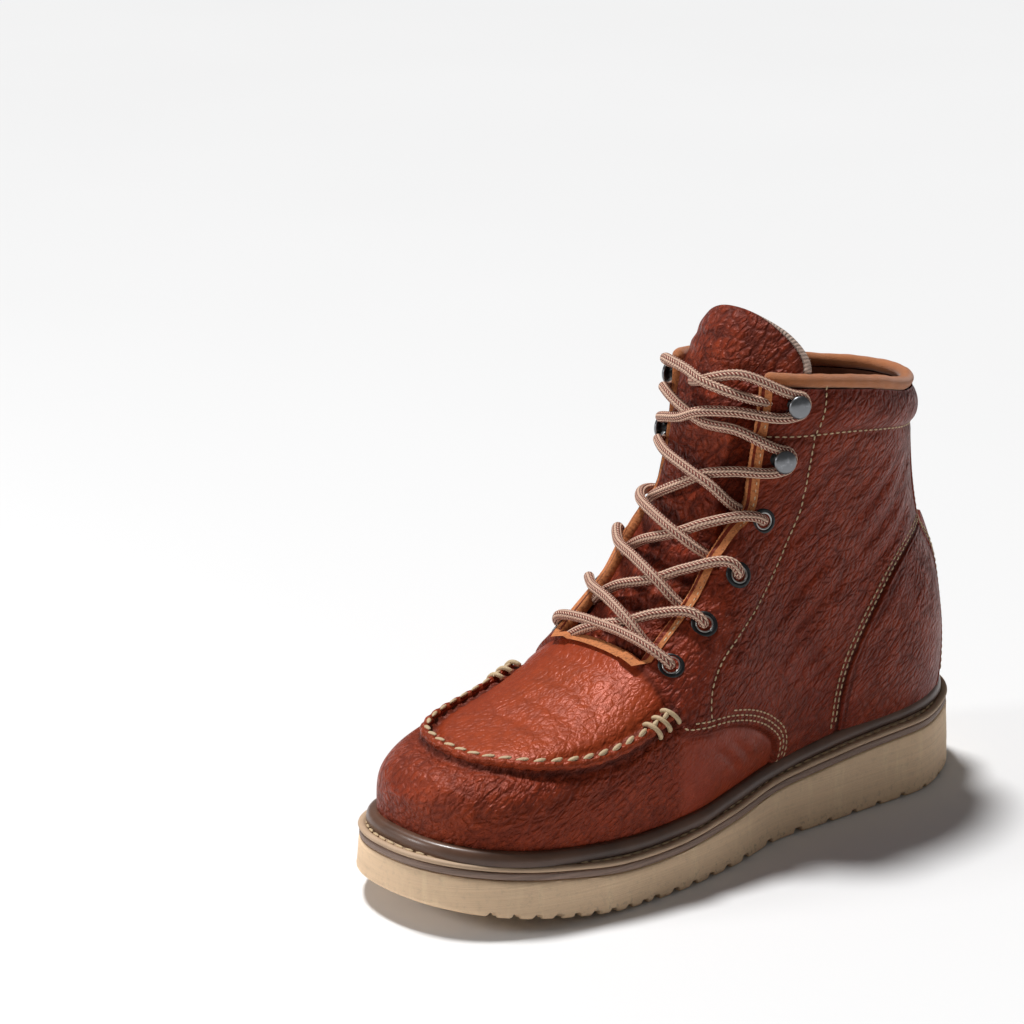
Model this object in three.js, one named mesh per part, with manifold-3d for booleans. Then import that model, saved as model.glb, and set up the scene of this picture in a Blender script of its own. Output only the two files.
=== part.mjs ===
// A left work boot, ankle high, with a moc toe, laced through eight eyelets and four hooks.
// Millimetres. X runs from heel to toe, +Y is the outer side of the foot, and +Z is up.
// The origin is on the floor under the middle of the sole, and the floor is z = 0.

import * as THREE from 'three';
import { mergeVertices } from 'three/addons/utils/BufferGeometryUtils.js';
import Module from 'manifold-3d';

const wasm = await Module();
wasm.setup();

// Driving dimensions
const LENGTH = 308;
const HALF_WIDTH = 54.5;
const BOOT_HEIGHT = 200;
const HEEL_HEIGHT = 35.7;
const TOE_SPRING = 12.2;
const SPRING_FROM = 0.68;
const HEEL_BEVEL = 2.7;
const BEVEL_TO = 0.07;
const SOLE_FLARE = 1;
const HEEL_ROUND = 55;
const TOE_ROUND = 75;
const GAP = 0.3;

const WELT = 2.2;
const WELT_WIDTH = 16;
const MIDSOLE = 3;
const INSOLE = 4;
const RAND_HEIGHT = 5.5;
const RAND_WIDTH = 4.6;
const TREAD_DEPTH = 3.2;
const TREAD_REACH = 9;

const WELT_SHOW = 9;
const HEEL_SHOW = 7.4;
const UPPER_HEEL_ROUND = 50;
const UPPER_TOE_ROUND = 60;
const WALL = 2.4;
const OVERLAY = 1.4;
const BLEND = 9;
const FRONT_SQUARE = 2.6;
const BACK_SQUARE = 2.1;
const FEATHER_DEPTH = 26;

const THROAT_HALF = 25;
const THROAT_DEPTH = 15;
const TONGUE = 3.6;
const TONGUE_HALF = 33;
const BINDING = 5.2;
const MOC_SEAM = 3.6;

const EYELET_OUTER = 5.8;
const EYELET_BORE = 2.6;
const EYELET_BARREL = 3.2;
const EYELET_LIP = 1.3;
const SEAT = 0.75;
const HOOK_HEAD = 4.9;
const HOOK_NECK = 2;
const HOOK_RISE = 9.6;
const LACE = 4.4;

// Each row's place along the sole is a share of LENGTH from the heel.
// Half widths and the centre line's bend are shares of HALF_WIDTH.
const OUTLINE = [
  { at: 0.00, outer: 0.80, inner: 0.80, bend: 0 },
  { at: 0.07, outer: 0.80, inner: 0.80, bend: 0 },
  { at: 0.16, outer: 0.84, inner: 0.773, bend: 0 },
  { at: 0.30, outer: 0.82, inner: 0.758, bend: 0 },
  { at: 0.42, outer: 0.797, inner: 0.696, bend: 0 },
  { at: 0.55, outer: 0.933, inner: 0.784, bend: 0 },
  { at: 0.66, outer: 1.00, inner: 0.927, bend: -0.002 },
  { at: 0.75, outer: 1.00, inner: 0.985, bend: -0.009 },
  { at: 0.84, outer: 0.975, inner: 0.955, bend: -0.040 },
  { at: 0.92, outer: 0.955, inner: 0.93, bend: -0.058 },
  { at: 1.00, outer: 0.95, inner: 0.92, bend: -0.085 },
];

// Height of the welt's top as a share of HEEL_HEIGHT
const SOLE_TOP = [
  { at: 0.00, height: 1.000 },
  { at: 0.25, height: 0.924 },
  { at: 0.50, height: 0.728 },
  { at: 0.70, height: 0.602 },
  { at: 0.85, height: 0.714 },
  { at: 1.00, height: 0.891 },
];

// Widest half widths of the upper as shares of its room inside the welt's edge,
// and how far the wall tucks in below them as a share of that width
const PLAN = [
  { at: 0.03, outer: 0.835, inner: 0.80, tuck: 0.04 },
  { at: 0.16, outer: 0.826, inner: 0.804, tuck: 0.05 },
  { at: 0.27, outer: 0.826, inner: 0.81, tuck: 0.07 },
  { at: 0.38, outer: 0.848, inner: 0.815, tuck: 0.12 },
  { at: 0.45, outer: 0.902, inner: 0.843, tuck: 0.15 },
  { at: 0.53, outer: 1.01, inner: 0.90, tuck: 0.13 },
  { at: 0.61, outer: 1.083, inner: 0.97, tuck: 0.10 },
  { at: 0.70, outer: 1.075, inner: 1.02, tuck: 0.09 },
  { at: 0.80, outer: 1.04, inner: 0.985, tuck: 0.07 },
  { at: 0.90, outer: 1.045, inner: 0.97, tuck: 0.05 },
  { at: 1.00, outer: 1.06, inner: 0.96, tuck: 0.04 },
];

// The foot's ridge as a share of BOOT_HEIGHT, and how square its section is
const CROWN = [
  { at: 0.15, height: 0.55, square: 2.2 },
  { at: 0.33, height: 0.70, square: 2.3 },
  { at: 0.42, height: 0.75, square: 2.4 },
  { at: 0.475, height: 0.745, square: 2.5 },
  { at: 0.51, height: 0.69, square: 2.5 },
  { at: 0.552, height: 0.59, square: 2.5 },
  { at: 0.61, height: 0.50, square: 2.5 },
  { at: 0.65, height: 0.447, square: 2.5 },
  { at: 0.715, height: 0.395, square: 2.5 },
  { at: 0.78, height: 0.36, square: 2.6 },
  { at: 0.845, height: 0.333, square: 2.8 },
  { at: 0.91, height: 0.306, square: 3.0 },
  { at: 0.945, height: 0.288, square: 3.0 },
  { at: 0.97, height: 0.25, square: 3.0 },
];

// Sections of the shaft: the height is a share of BOOT_HEIGHT, back and front are shares
// of LENGTH, and the half width is a share of the upper's room inside the welt's edge
const SHAFT = [
  { at: 0.075, back: 0.035, front: 0.36, half: 0.74 },
  { at: 0.225, back: 0.0245, front: 0.37, half: 0.80 },
  { at: 0.31, back: 0.0225, front: 0.40, half: 0.815 },
  { at: 0.45, back: 0.040, front: 0.46, half: 0.79 },
  { at: 0.59, back: 0.068, front: 0.50, half: 0.755 },
  { at: 0.675, back: 0.080, front: 0.50, half: 0.75 },
  { at: 0.80, back: 0.0905, front: 0.478, half: 0.77 },
  { at: 0.94, back: 0.096, front: 0.464, half: 0.785 },
  { at: 1.15, back: 0.098, front: 0.458, half: 0.80 },
];

// The topline, from the back to the front of the shaft
const TOPLINE = [
  { at: 0.05, height: 0.905 },
  { at: 0.15, height: 0.915 },
  { at: 0.25, height: 0.95 },
  { at: 0.345, height: 0.975 },
  { at: 0.45, height: 0.995 },
  { at: 0.60, height: 1.01 },
];

// Eyelets and hooks on each side, from the toe up
const FASTENERS = [
  { name: 'eyelet', at: 0.617, height: 0.440 },
  { name: 'eyelet', at: 0.558, height: 0.508 },
  { name: 'eyelet', at: 0.497, height: 0.594 },
  { name: 'eyelet', at: 0.436, height: 0.685 },
  { name: 'hook', at: 0.412, height: 0.812 },
  { name: 'hook', at: 0.394, height: 0.925 },
];

const COLOURS = {
  leather: new THREE.MeshStandardMaterial({ color: 0x7a2a18, roughness: 0.42, metalness: 0 }),
  toe: new THREE.MeshStandardMaterial({ color: 0x8f3a17, roughness: 0.38, metalness: 0 }),
  suede: new THREE.MeshStandardMaterial({ color: 0xb8642c, roughness: 0.9, metalness: 0 }),
  rubber: new THREE.MeshStandardMaterial({ color: 0xcfae84, roughness: 0.85, metalness: 0 }),
  midsole: new THREE.MeshStandardMaterial({ color: 0x9c8478, roughness: 0.8, metalness: 0 }),
  welt: new THREE.MeshStandardMaterial({ color: 0xd3b08c, roughness: 0.7, metalness: 0 }),
  rand: new THREE.MeshStandardMaterial({ color: 0x5e4334, roughness: 0.4, metalness: 0 }),
  lining: new THREE.MeshStandardMaterial({ color: 0xb08a70, roughness: 0.95, metalness: 0 }),
  metal: new THREE.MeshStandardMaterial({ color: 0x5a5f62, roughness: 0.35, metalness: 1 }),
  lace: new THREE.MeshStandardMaterial({ color: 0xe0bfa4, roughness: 0.9, metalness: 0 }),
};

// Value of a column at a place, by a cubic through the rows that never overshoots
function smooth(table, column, place) {
  const last = table.length - 1;
  const x = THREE.MathUtils.clamp(place, table[0].at, table[last].at);
  let i = 0;
  while (i < last - 1 && x > table[i + 1].at) i += 1;
  const slope = (k) => (table[k + 1][column] - table[k][column]) / (table[k + 1].at - table[k].at);
  const tangent = (k) => {
    if (k === 0) return slope(0);
    if (k === last) return slope(last - 1);
    const before = slope(k - 1);
    const after = slope(k);
    return before * after > 0 ? (2 * before * after) / (before + after) : 0;
  };
  const step = table[i + 1].at - table[i].at;
  const t = (x - table[i].at) / step;
  const a = table[i][column] * (1 + 2 * t) * (1 - t) ** 2 + table[i + 1][column] * t * t * (3 - 2 * t);
  return a + step * (tangent(i) * t * (1 - t) ** 2 - tangent(i + 1) * t * t * (1 - t));
}

const toShare = (x) => x / LENGTH + 0.5;
const fromShare = (at) => (at - 0.5) * LENGTH;

// A rounded end: 0 at the tip and 1 beyond its reach
function roundEnd(distance, reach, power) {
  const s = THREE.MathUtils.clamp(distance / reach, 0, 1);
  return (1 - (1 - s) ** power) ** (1 / power);
}

// Heights of the sole's layers
const weltTop = (x) => HEEL_HEIGHT * smooth(SOLE_TOP, 'height', toShare(x));
const weltBottom = (x) => weltTop(x) - WELT;
const midsoleTop = (x) => weltBottom(x) - GAP;
const midsoleBottom = (x) => midsoleTop(x) - MIDSOLE;
const outsoleTop = (x) => midsoleBottom(x) - GAP;
const randTop = (x) => weltTop(x) + GAP + RAND_HEIGHT;
const bend = (x) => HALF_WIDTH * smooth(OUTLINE, 'bend', toShare(x));
const crown = (x) => BOOT_HEIGHT * smooth(CROWN, 'height', toShare(x));
const topline = (x) => BOOT_HEIGHT * smooth(TOPLINE, 'height', toShare(x));

function outsoleBottom(x) {
  const at = toShare(x);
  const spring = Math.max(0, (at - SPRING_FROM) / (1 - SPRING_FROM));
  const bevel = Math.max(0, (BEVEL_TO - at) / BEVEL_TO);
  return TOE_SPRING * spring ** 2 + HEEL_BEVEL * bevel ** 2;
}

// The sole's edge on one side (+1 outer, -1 inner), moved in by an inset
function soleEdge(side, x, inset) {
  const column = side > 0 ? 'outer' : 'inner';
  let half = HALF_WIDTH * smooth(OUTLINE, column, toShare(x)) - inset;
  half *= roundEnd(x + LENGTH / 2 - inset, HEEL_ROUND, 2);
  half *= roundEnd(LENGTH / 2 - inset - x, TOE_ROUND, 2.3);
  return bend(x) + side * half;
}

// Signed distance, near enough, to the foot of the upper
function footForm(x, y, z) {
  const at = toShare(x);
  const base = weltBottom(x);
  const top = crown(x);
  const widest = base + 0.42 * Math.min(top - base, 60);
  const square = smooth(CROWN, 'square', at);
  const side = y - bend(x);
  let half = (HALF_WIDTH - WELT_SHOW) * smooth(PLAN, side > 0 ? 'outer' : 'inner', at);
  half *= roundEnd(x + LENGTH / 2 - HEEL_SHOW, UPPER_HEEL_ROUND, 2);
  half *= roundEnd(LENGTH / 2 - WELT_SHOW - x, UPPER_TOE_ROUND, 2.4);
  const low = THREE.MathUtils.clamp((widest - z) / (widest - base), 0, 1);
  half = Math.max(half * (1 - smooth(PLAN, 'tuck', at) * low ** 2), 0.01);
  const rise = Math.max(0, (z - widest) / (top - widest));
  const drop = Math.max(0, (base - z) / FEATHER_DEPTH);
  const level = Math.max((Math.abs(side) / half) ** square + rise ** square + drop ** 6, 1e-9);
  const beyond = Math.abs(x - (HEEL_SHOW - WELT_SHOW) / 2) - (LENGTH - HEEL_SHOW - WELT_SHOW) / 2;
  return Math.max(Math.hypot(side, z - widest) * (1 - level ** (-1 / square)), beyond);
}

// Signed distance, near enough, to the shaft
function shaftForm(x, y, z) {
  const v = z / BOOT_HEIGHT;
  const back = fromShare(smooth(SHAFT, 'back', v));
  const front = fromShare(smooth(SHAFT, 'front', v));
  const half = (HALF_WIDTH - WELT_SHOW) * smooth(SHAFT, 'half', v);
  const middle = (back + front) / 2;
  const reach = (front - back) / 2;
  const square = x > middle ? FRONT_SQUARE : BACK_SQUARE;
  const drop = Math.max(0, (weltBottom(x) - z) / FEATHER_DEPTH);
  const level = (Math.abs(x - middle) / reach) ** square + (Math.abs(y) / half) ** square + drop ** 6;
  const from = Math.hypot(x - middle, y, drop * FEATHER_DEPTH);
  return from * (1 - Math.max(level, 1e-9) ** (-1 / square));
}

// Foot and shaft run into each other
function upperForm(x, y, z) {
  const foot = footForm(x, y, z);
  const shaft = shaftForm(x, y, z);
  const h = THREE.MathUtils.clamp(0.5 + (0.5 * (shaft - foot)) / BLEND, 0, 1);
  return shaft + (foot - shaft) * h - BLEND * h * (1 - h);
}

function normalAt(p) {
  const e = 0.25;
  return new THREE.Vector3(
    upperForm(p.x + e, p.y, p.z) - upperForm(p.x - e, p.y, p.z),
    upperForm(p.x, p.y + e, p.z) - upperForm(p.x, p.y - e, p.z),
    upperForm(p.x, p.y, p.z + e) - upperForm(p.x, p.y, p.z - e),
  ).normalize();
}

// Where a ray from inside the upper leaves it
function cast(from, way) {
  let near = 0;
  let far = LENGTH;
  const p = new THREE.Vector3();
  for (let i = 0; i < 36; i += 1) {
    const middle = (near + far) / 2;
    p.copy(way).multiplyScalar(middle).add(from);
    if (upperForm(p.x, p.y, p.z) < 0) near = middle;
    else far = middle;
  }
  return p.copy(way).multiplyScalar((near + far) / 2).add(from);
}

// The point of the upper's outside on one side, at a place and a height
const sidePoint = (x, z, side) => cast(new THREE.Vector3(x, 0, z), new THREE.Vector3(0, side, 0));

// Closed surface through rings that have the same number of points
function loft(rings) {
  const count = rings[0].length;
  const positions = rings.flat().flatMap((p) => [p.x, p.y, p.z]);
  const index = [];
  for (let r = 0; r + 1 < rings.length; r += 1) {
    for (let i = 0; i < count; i += 1) {
      const j = (i + 1) % count;
      const a = r * count + i;
      const b = r * count + j;
      index.push(a, b, b + count, a, b + count, a + count);
    }
  }
  const end = (rings.length - 1) * count;
  for (let i = 1; i + 1 < count; i += 1) {
    index.push(0, i + 1, i);
    index.push(end, end + i, end + i + 1);
  }
  const geometry = new THREE.BufferGeometry();
  geometry.setAttribute('position', new THREE.Float32BufferAttribute(positions, 3));
  geometry.setIndex(index);
  return geometry;
}

function toSolid(geometry) {
  const bare = geometry.clone();
  bare.deleteAttribute('normal');
  bare.deleteAttribute('uv');
  const merged = mergeVertices(bare, 1e-4);
  const mesh = new wasm.Mesh({
    numProp: 3,
    vertProperties: new Float32Array(merged.attributes.position.array),
    triVerts: new Uint32Array(merged.index.array),
  });
  const solid = new wasm.Manifold(mesh);
  if (solid.volume() > 0) return solid;
  for (let i = 0; i < mesh.triVerts.length; i += 3) {
    const kept = mesh.triVerts[i];
    mesh.triVerts[i] = mesh.triVerts[i + 1];
    mesh.triVerts[i + 1] = kept;
  }
  return new wasm.Manifold(mesh);
}

function toGeometry(solid) {
  const mesh = solid.getMesh();
  const geometry = new THREE.BufferGeometry();
  geometry.setAttribute('position', new THREE.Float32BufferAttribute(mesh.vertProperties, 3));
  geometry.setIndex(new THREE.Uint32BufferAttribute(mesh.triVerts, 1));
  return geometry;
}

const boot = new THREE.Group();

function addPart(name, shape, material) {
  const geometry = shape.isBufferGeometry ? toGeometry(toSolid(shape)) : toGeometry(shape);
  const mesh = new THREE.Mesh(geometry, material);
  mesh.name = name;
  boot.add(mesh);
}

// Places between two ends, closer together towards both
function spread(from, to, count) {
  const places = [];
  for (let i = 0; i <= count; i += 1) {
    places.push((from + to) / 2 - ((to - from) / 2) * Math.cos((Math.PI * i) / count));
  }
  return places;
}

// A plate that follows the sole's outline between two heights, with its foot flared
function solePlate(inset, bottom, top, count, flare = 0) {
  const tip = 0.4;
  const reach = LENGTH / 2 - inset;
  const rings = spread(-reach + tip, reach - tip, count).map((x) => {
    const grown = x * (1 + flare / reach);
    return [
      new THREE.Vector3(grown, soleEdge(1, x, inset) + flare, bottom(x)),
      new THREE.Vector3(x, soleEdge(1, x, inset), top(x)),
      new THREE.Vector3(x, soleEdge(-1, x, inset), top(x)),
      new THREE.Vector3(grown, soleEdge(-1, x, inset) - flare, bottom(x)),
    ];
  });
  return loft(rings);
}

// Planes that cut the upper across: upright at the foot, turning about the instep's
// front, and level in the shaft. Each has a middle and the way that it counts as up.
const PIVOT = new THREE.Vector3(fromShare(0.617), 0, BOOT_HEIGHT * 0.825);
const TURN_REACH = 96;

function sectionPlanes(toeTip, turns, levels) {
  const planes = [];
  const toeSteps = [0.15, 1.2, 3.2, 6.5, 11, 17, 25, 35, 47, 60, 76, 92];
  for (const step of toeSteps) {
    const x = toeTip - step;
    const middle = new THREE.Vector3(x, bend(x), (weltTop(x) + crown(x)) / 2);
    planes.push({ middle, turn: 0, stretch: 0.6 + (0.4 * step) / toeSteps.at(-1) });
  }
  for (let i = 0; i <= turns; i += 1) {
    const turn = (Math.PI / 2) * (i / turns);
    const reach = TURN_REACH + 8 * Math.sin(turn);
    const middle = new THREE.Vector3(-Math.sin(turn) * reach, 0, -Math.cos(turn) * reach).add(PIVOT);
    planes.push({ middle, turn, stretch: 1 + 0.5 * Math.sin(turn) + 0.6 * Math.sin(2 * turn) });
  }
  for (let i = 1; i <= levels; i += 1) {
    const last = planes[planes.length - 1].middle;
    const middle = new THREE.Vector3(last.x, 0, last.z + 68 / levels);
    planes.push({ middle, turn: Math.PI / 2, stretch: 1.5 });
  }
  return planes;
}

// The upper's form, moved out by an offset or in by a negative one
function upperSolid(offset, rays, turns, levels) {
  const toeTip = LENGTH / 2 - WELT_SHOW;
  const forward = new THREE.Vector3(1, 0, 0);
  const rings = sectionPlanes(toeTip, turns, levels).map(({ middle, turn, stretch }, order) => {
    const up = new THREE.Vector3(Math.sin(turn), 0, Math.cos(turn));
    const ring = [];
    for (let i = 0; i < rays; i += 1) {
      const angle = (2 * Math.PI * i) / rays;
      const way = up.clone().multiplyScalar(stretch * Math.cos(angle));
      way.y = Math.sin(angle);
      const p = cast(middle, way.normalize());
      ring.push(p.addScaledVector(order === 0 ? forward : normalAt(p), offset));
    }
    return ring;
  });
  return toSolid(loft(rings));
}

// A block across the boot whose side view runs between two curves of x
function sideBlock(from, to, count, bottom, top, half) {
  const rings = [];
  for (let i = 0; i <= count; i += 1) {
    const x = from + ((to - from) * i) / count;
    rings.push([
      new THREE.Vector3(x, half, bottom(x)),
      new THREE.Vector3(x, half, top(x)),
      new THREE.Vector3(x, -half, top(x)),
      new THREE.Vector3(x, -half, bottom(x)),
    ]);
  }
  return toSolid(loft(rings));
}

// An outline drawn in the side view, given as shares of LENGTH and BOOT_HEIGHT,
// and made into a block on one side of the boot or on both
function outlineBlock(points, from, to) {
  const shape = new THREE.Shape(points.map(([at, height]) => new THREE.Vector2(fromShare(at), height * BOOT_HEIGHT)));
  const geometry = new THREE.ExtrudeGeometry(shape, { depth: to - from, bevelEnabled: false });
  geometry.rotateX(Math.PI / 2);
  geometry.translate(0, to, 0);
  return toSolid(geometry);
}

// A round cord through points
function cord(points, diameter, sides, steps) {
  const path = new THREE.CatmullRomCurve3(points, false, 'centripetal');
  const section = new THREE.Shape();
  for (let i = 0; i < sides; i += 1) {
    const angle = (2 * Math.PI * i) / sides;
    const x = (diameter / 2) * Math.cos(angle);
    const y = (diameter / 2) * Math.sin(angle);
    if (i === 0) section.moveTo(x, y);
    else section.lineTo(x, y);
  }
  section.closePath();
  return new THREE.ExtrudeGeometry(section, { steps, extrudePath: path, bevelEnabled: false });
}

// Sole
const HALF_ACROSS = HALF_WIDTH * 1.6;
let outsole = toSolid(solePlate(0, outsoleBottom, outsoleTop, 36, SOLE_FLARE));

// Notches of the tread, cut into the sole's lower edge: place, width and depth as a share
const TREAD = [
  { from: 0.10, to: 0.34, count: 6, width: 3.4, depth: 0.7 },
  { from: 0.40, to: 0.52, count: 3, width: 5.0, depth: 0.9 },
  { from: 0.56, to: 0.70, count: 5, width: 4.2, depth: 0.8 },
  { from: 0.72, to: 0.93, count: 9, width: 3.4, depth: 0.7 },
];

function treadCut(x, width, depth) {
  const floor = outsoleBottom(x);
  const shape = new THREE.Shape();
  shape.moveTo(x - width / 2, floor - TREAD_DEPTH);
  shape.lineTo(x + width / 2, floor - TREAD_DEPTH);
  shape.lineTo(x + width / 2, floor);
  shape.lineTo(x + width / 4, floor + depth);
  shape.lineTo(x - width / 4, floor + depth);
  shape.lineTo(x - width / 2, floor);
  shape.closePath();
  const geometry = new THREE.ExtrudeGeometry(shape, { depth: 2 * HALF_ACROSS, bevelEnabled: false });
  geometry.rotateX(Math.PI / 2);
  geometry.translate(0, HALF_ACROSS, 0);
  return toSolid(geometry);
}

const treadCore = toSolid(solePlate(TREAD_REACH, () => -2 * TREAD_DEPTH, outsoleTop, 20));
for (const row of TREAD) {
  for (let i = 0; i < row.count; i += 1) {
    const at = row.from + ((row.to - row.from) * i) / (row.count - 1);
    const cut = treadCut(fromShare(at), row.width, TREAD_DEPTH * row.depth);
    outsole = outsole.subtract(cut.subtract(treadCore));
  }
}
addPart('outsole', outsole, COLOURS.rubber);
addPart('midsole', solePlate(0.4, midsoleBottom, midsoleTop, 36), COLOURS.midsole);

// Upper: an outer form less an inner one, open underneath, at the collar and at the throat
const outer = upperSolid(0, 40, 14, 3);
const inner = upperSolid(-WALL, 32, 12, 3);
const clearForm = upperSolid(GAP, 40, 14, 3);
const below = sideBlock(-LENGTH, LENGTH, 48, () => -BOOT_HEIGHT, (x) => midsoleTop(x) + GAP, HALF_ACROSS);
const rim = (x) => topline(x) - BINDING - GAP;
const above = sideBlock(-LENGTH / 2, LENGTH / 2, 24, rim, () => BOOT_HEIGHT * 2, HALF_ACROSS);

// The throat runs up the ridge from the front of the lacing: where the ridge is,
// how far the cut reaches to each side, and its lean
const THROAT = [
  { at: 0.640, height: 0.462, half: 0.98, lean: 0.55 },
  { at: 0.610, height: 0.500, half: 0.98, lean: 0.55 },
  { at: 0.552, height: 0.590, half: 0.92, lean: 0.75 },
  { at: 0.510, height: 0.690, half: 0.90, lean: 1.05 },
  { at: 0.480, height: 0.800, half: 0.92, lean: 1.35 },
  { at: 0.464, height: 0.940, half: 0.98, lean: 1.50 },
  { at: 0.456, height: 1.200, half: 1.04, lean: 1.50 },
];

function throatBlock(inset) {
  return toSolid(loft(THROAT.map((row) => {
    const out = new THREE.Vector3(Math.sin(row.lean), 0, Math.cos(row.lean));
    const ridge = new THREE.Vector3(fromShare(row.at), 0, row.height * BOOT_HEIGHT);
    const high = ridge.clone().addScaledVector(out, THROAT_DEPTH * 1.6);
    const deep = ridge.clone().addScaledVector(out, -THROAT_DEPTH);
    const half = THROAT_HALF * row.half - inset;
    return [
      new THREE.Vector3(high.x, half, high.z),
      new THREE.Vector3(high.x, -half, high.z),
      new THREE.Vector3(deep.x, -half, deep.z),
      new THREE.Vector3(deep.x, half, deep.z),
    ];
  })));
}

const throat = throatBlock(0);
let upper = outer.subtract(inner).subtract(below).subtract(above).subtract(throat);

// Eyelets and hooks stand square to the upper's outside
function fastenerFrame(row, side) {
  const point = sidePoint(fromShare(row.at), row.height * BOOT_HEIGHT, side);
  const out = normalAt(point);
  const turn = new THREE.Quaternion().setFromUnitVectors(new THREE.Vector3(0, 1, 0), out);
  return { point, out, turn };
}

function revolve(profile, frame, segments) {
  const points = profile.map(([r, h]) => new THREE.Vector2(r, h));
  const geometry = new THREE.LatheGeometry(points, segments);
  geometry.applyQuaternion(frame.turn);
  geometry.translate(frame.point.x, frame.point.y, frame.point.z);
  return toSolid(geometry);
}

// Profiles as radius and height above the upper's outside
const EYELET = [
  [EYELET_BORE, -WALL],
  [EYELET_BARREL - GAP, -WALL],
  [EYELET_BARREL - GAP, SEAT],
  [EYELET_OUTER, SEAT],
  [EYELET_OUTER - 0.7, SEAT + EYELET_LIP],
  [EYELET_BORE + 0.7, SEAT + EYELET_LIP],
  [EYELET_BORE, SEAT + 0.4],
  [EYELET_BORE, -WALL],
];
const HOOK = [
  [0, SEAT],
  [HOOK_HEAD, SEAT],
  [HOOK_HEAD * 0.8, SEAT + 0.8],
  [HOOK_NECK, SEAT + 1],
  [HOOK_NECK, HOOK_RISE - 2.6],
  [HOOK_HEAD, HOOK_RISE - 2.2],
  [HOOK_HEAD * 0.8, HOOK_RISE - 0.7],
  [0, HOOK_RISE],
];
const HOLE = [
  [0, -2 * WALL],
  [EYELET_BARREL, -2 * WALL],
  [EYELET_BARREL, 2 * WALL],
  [0, 2 * WALL],
];

const fasteners = [];
for (const side of [1, -1]) {
  const sideName = side > 0 ? 'outer' : 'inner';
  FASTENERS.forEach((row, i) => {
    const frame = fastenerFrame(row, side);
    const isEyelet = row.name === 'eyelet';
    if (isEyelet) upper = upper.subtract(revolve(HOLE, frame, 10));
    const solid = revolve(isEyelet ? EYELET : HOOK, frame, 10);
    fasteners.push({ name: `${row.name}_${sideName}_${i + 1}`, solid });
  });
}
addPart('upper', upper, COLOURS.leather);
fasteners.forEach(({ name, solid }) => addPart(name, solid, COLOURS.metal));

// Welt and rand fit around the upper
const weltHole = toSolid(solePlate(WELT_WIDTH, (x) => weltBottom(x) - 1, (x) => weltTop(x) + 1, 36));
const weltPlate = toSolid(solePlate(0, weltBottom, weltTop, 36));
addPart('welt', weltPlate.subtract(clearForm).subtract(weltHole), COLOURS.welt);

const randBottom = (x) => weltTop(x) + GAP;
const randOuter = upperSolid(RAND_WIDTH, 40, 14, 3);
const randSlab = sideBlock(-LENGTH / 2, LENGTH / 2, 24, randBottom, randTop, HALF_ACROSS);
const randEdge = toSolid(solePlate(1.5, randBottom, (x) => randTop(x) + 1, 36));
addPart('rand', randSlab.intersect(randOuter).intersect(randEdge).subtract(clearForm), COLOURS.rand);

// Insole, inside the upper's foot
const insoleForm = upperSolid(-WALL - GAP, 32, 12, 3);
const insoleBottom = (x) => midsoleTop(x) + GAP;
const insoleSlab = sideBlock(-LENGTH / 2, LENGTH / 2, 24, insoleBottom, (x) => insoleBottom(x) + INSOLE, HALF_ACROSS);
addPart('insole', insoleSlab.intersect(insoleForm), COLOURS.lining);

// Counters and back strip lie on the upper, cut between two larger forms
const overlayShell = upperSolid(OVERLAY + GAP, 40, 14, 3).subtract(clearForm);
const aboveRand = sideBlock(-LENGTH / 2, LENGTH / 2, 24, (x) => randTop(x) + GAP, () => BOOT_HEIGHT * 2, HALF_ACROSS);
const overlayStock = overlayShell.intersect(aboveRand);
const STRIP_HALF = 17;
const COUNTER = [
  [0.0, 0.1], [0.0, 0.56], [0.085, 0.565], [0.13, 0.55], [0.18, 0.52],
  [0.25, 0.455], [0.298, 0.37], [0.312, 0.30], [0.308, 0.1],
];
const counter = overlayStock.intersect(outlineBlock(COUNTER, -HALF_ACROSS, HALF_ACROSS));

// The back strip seen from behind: half widths as shares of STRIP_HALF
const STRIP = [
  { at: 0.18, half: 1.9 },
  { at: 0.25, half: 1.6 },
  { at: 0.42, half: 1.18 },
  { at: 0.58, half: 1.0 },
  { at: 0.75, half: 0.94 },
  { at: 0.98, half: 1.0 },
];

function stripBlock(grow) {
  return toSolid(loft(STRIP.map((row) => {
    const z = row.at * BOOT_HEIGHT;
    const half = row.half * STRIP_HALF + grow;
    const front = fromShare(0.2);
    return [
      new THREE.Vector3(-LENGTH, half, z),
      new THREE.Vector3(front, half, z),
      new THREE.Vector3(front, -half, z),
      new THREE.Vector3(-LENGTH, -half, z),
    ];
  })));
}

const belowBinding = sideBlock(-LENGTH / 2, LENGTH / 2, 24, () => 0, (x) => rim(x) - 1, HALF_ACROSS);
const strip = overlayStock.intersect(stripBlock(0)).intersect(belowBinding);
const counterSides = counter.subtract(stripBlock(GAP));
const outerHalf = sideBlock(-LENGTH, LENGTH, 1, () => -LENGTH, () => LENGTH, HALF_ACROSS)
  .translate([0, HALF_ACROSS, 0]);
addPart('back_strip', strip, COLOURS.leather);
addPart('counter_outer', counterSides.intersect(outerHalf), COLOURS.leather);
addPart('counter_inner', counterSides.subtract(outerHalf), COLOURS.leather);

// Rolled binding along the rim, from one facing around the back to the other
const RIM_FROM = THREE.MathUtils.degToRad(30);
const RIM_STEPS = 22;

function rimPoint(angle) {
  const way = new THREE.Vector3(Math.cos(angle), Math.sin(angle), 0);
  let point = new THREE.Vector3();
  for (let i = 0; i < 4; i += 1) {
    const middle = fromShare((smooth(SHAFT, 'back', 0.94) + smooth(SHAFT, 'front', 0.94)) / 2);
    point = cast(new THREE.Vector3(middle, 0, rim(point.x)), way);
  }
  point.addScaledVector(normalAt(point), -WALL / 2);
  return point.setZ(rim(point.x) + GAP + BINDING / 2);
}

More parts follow.
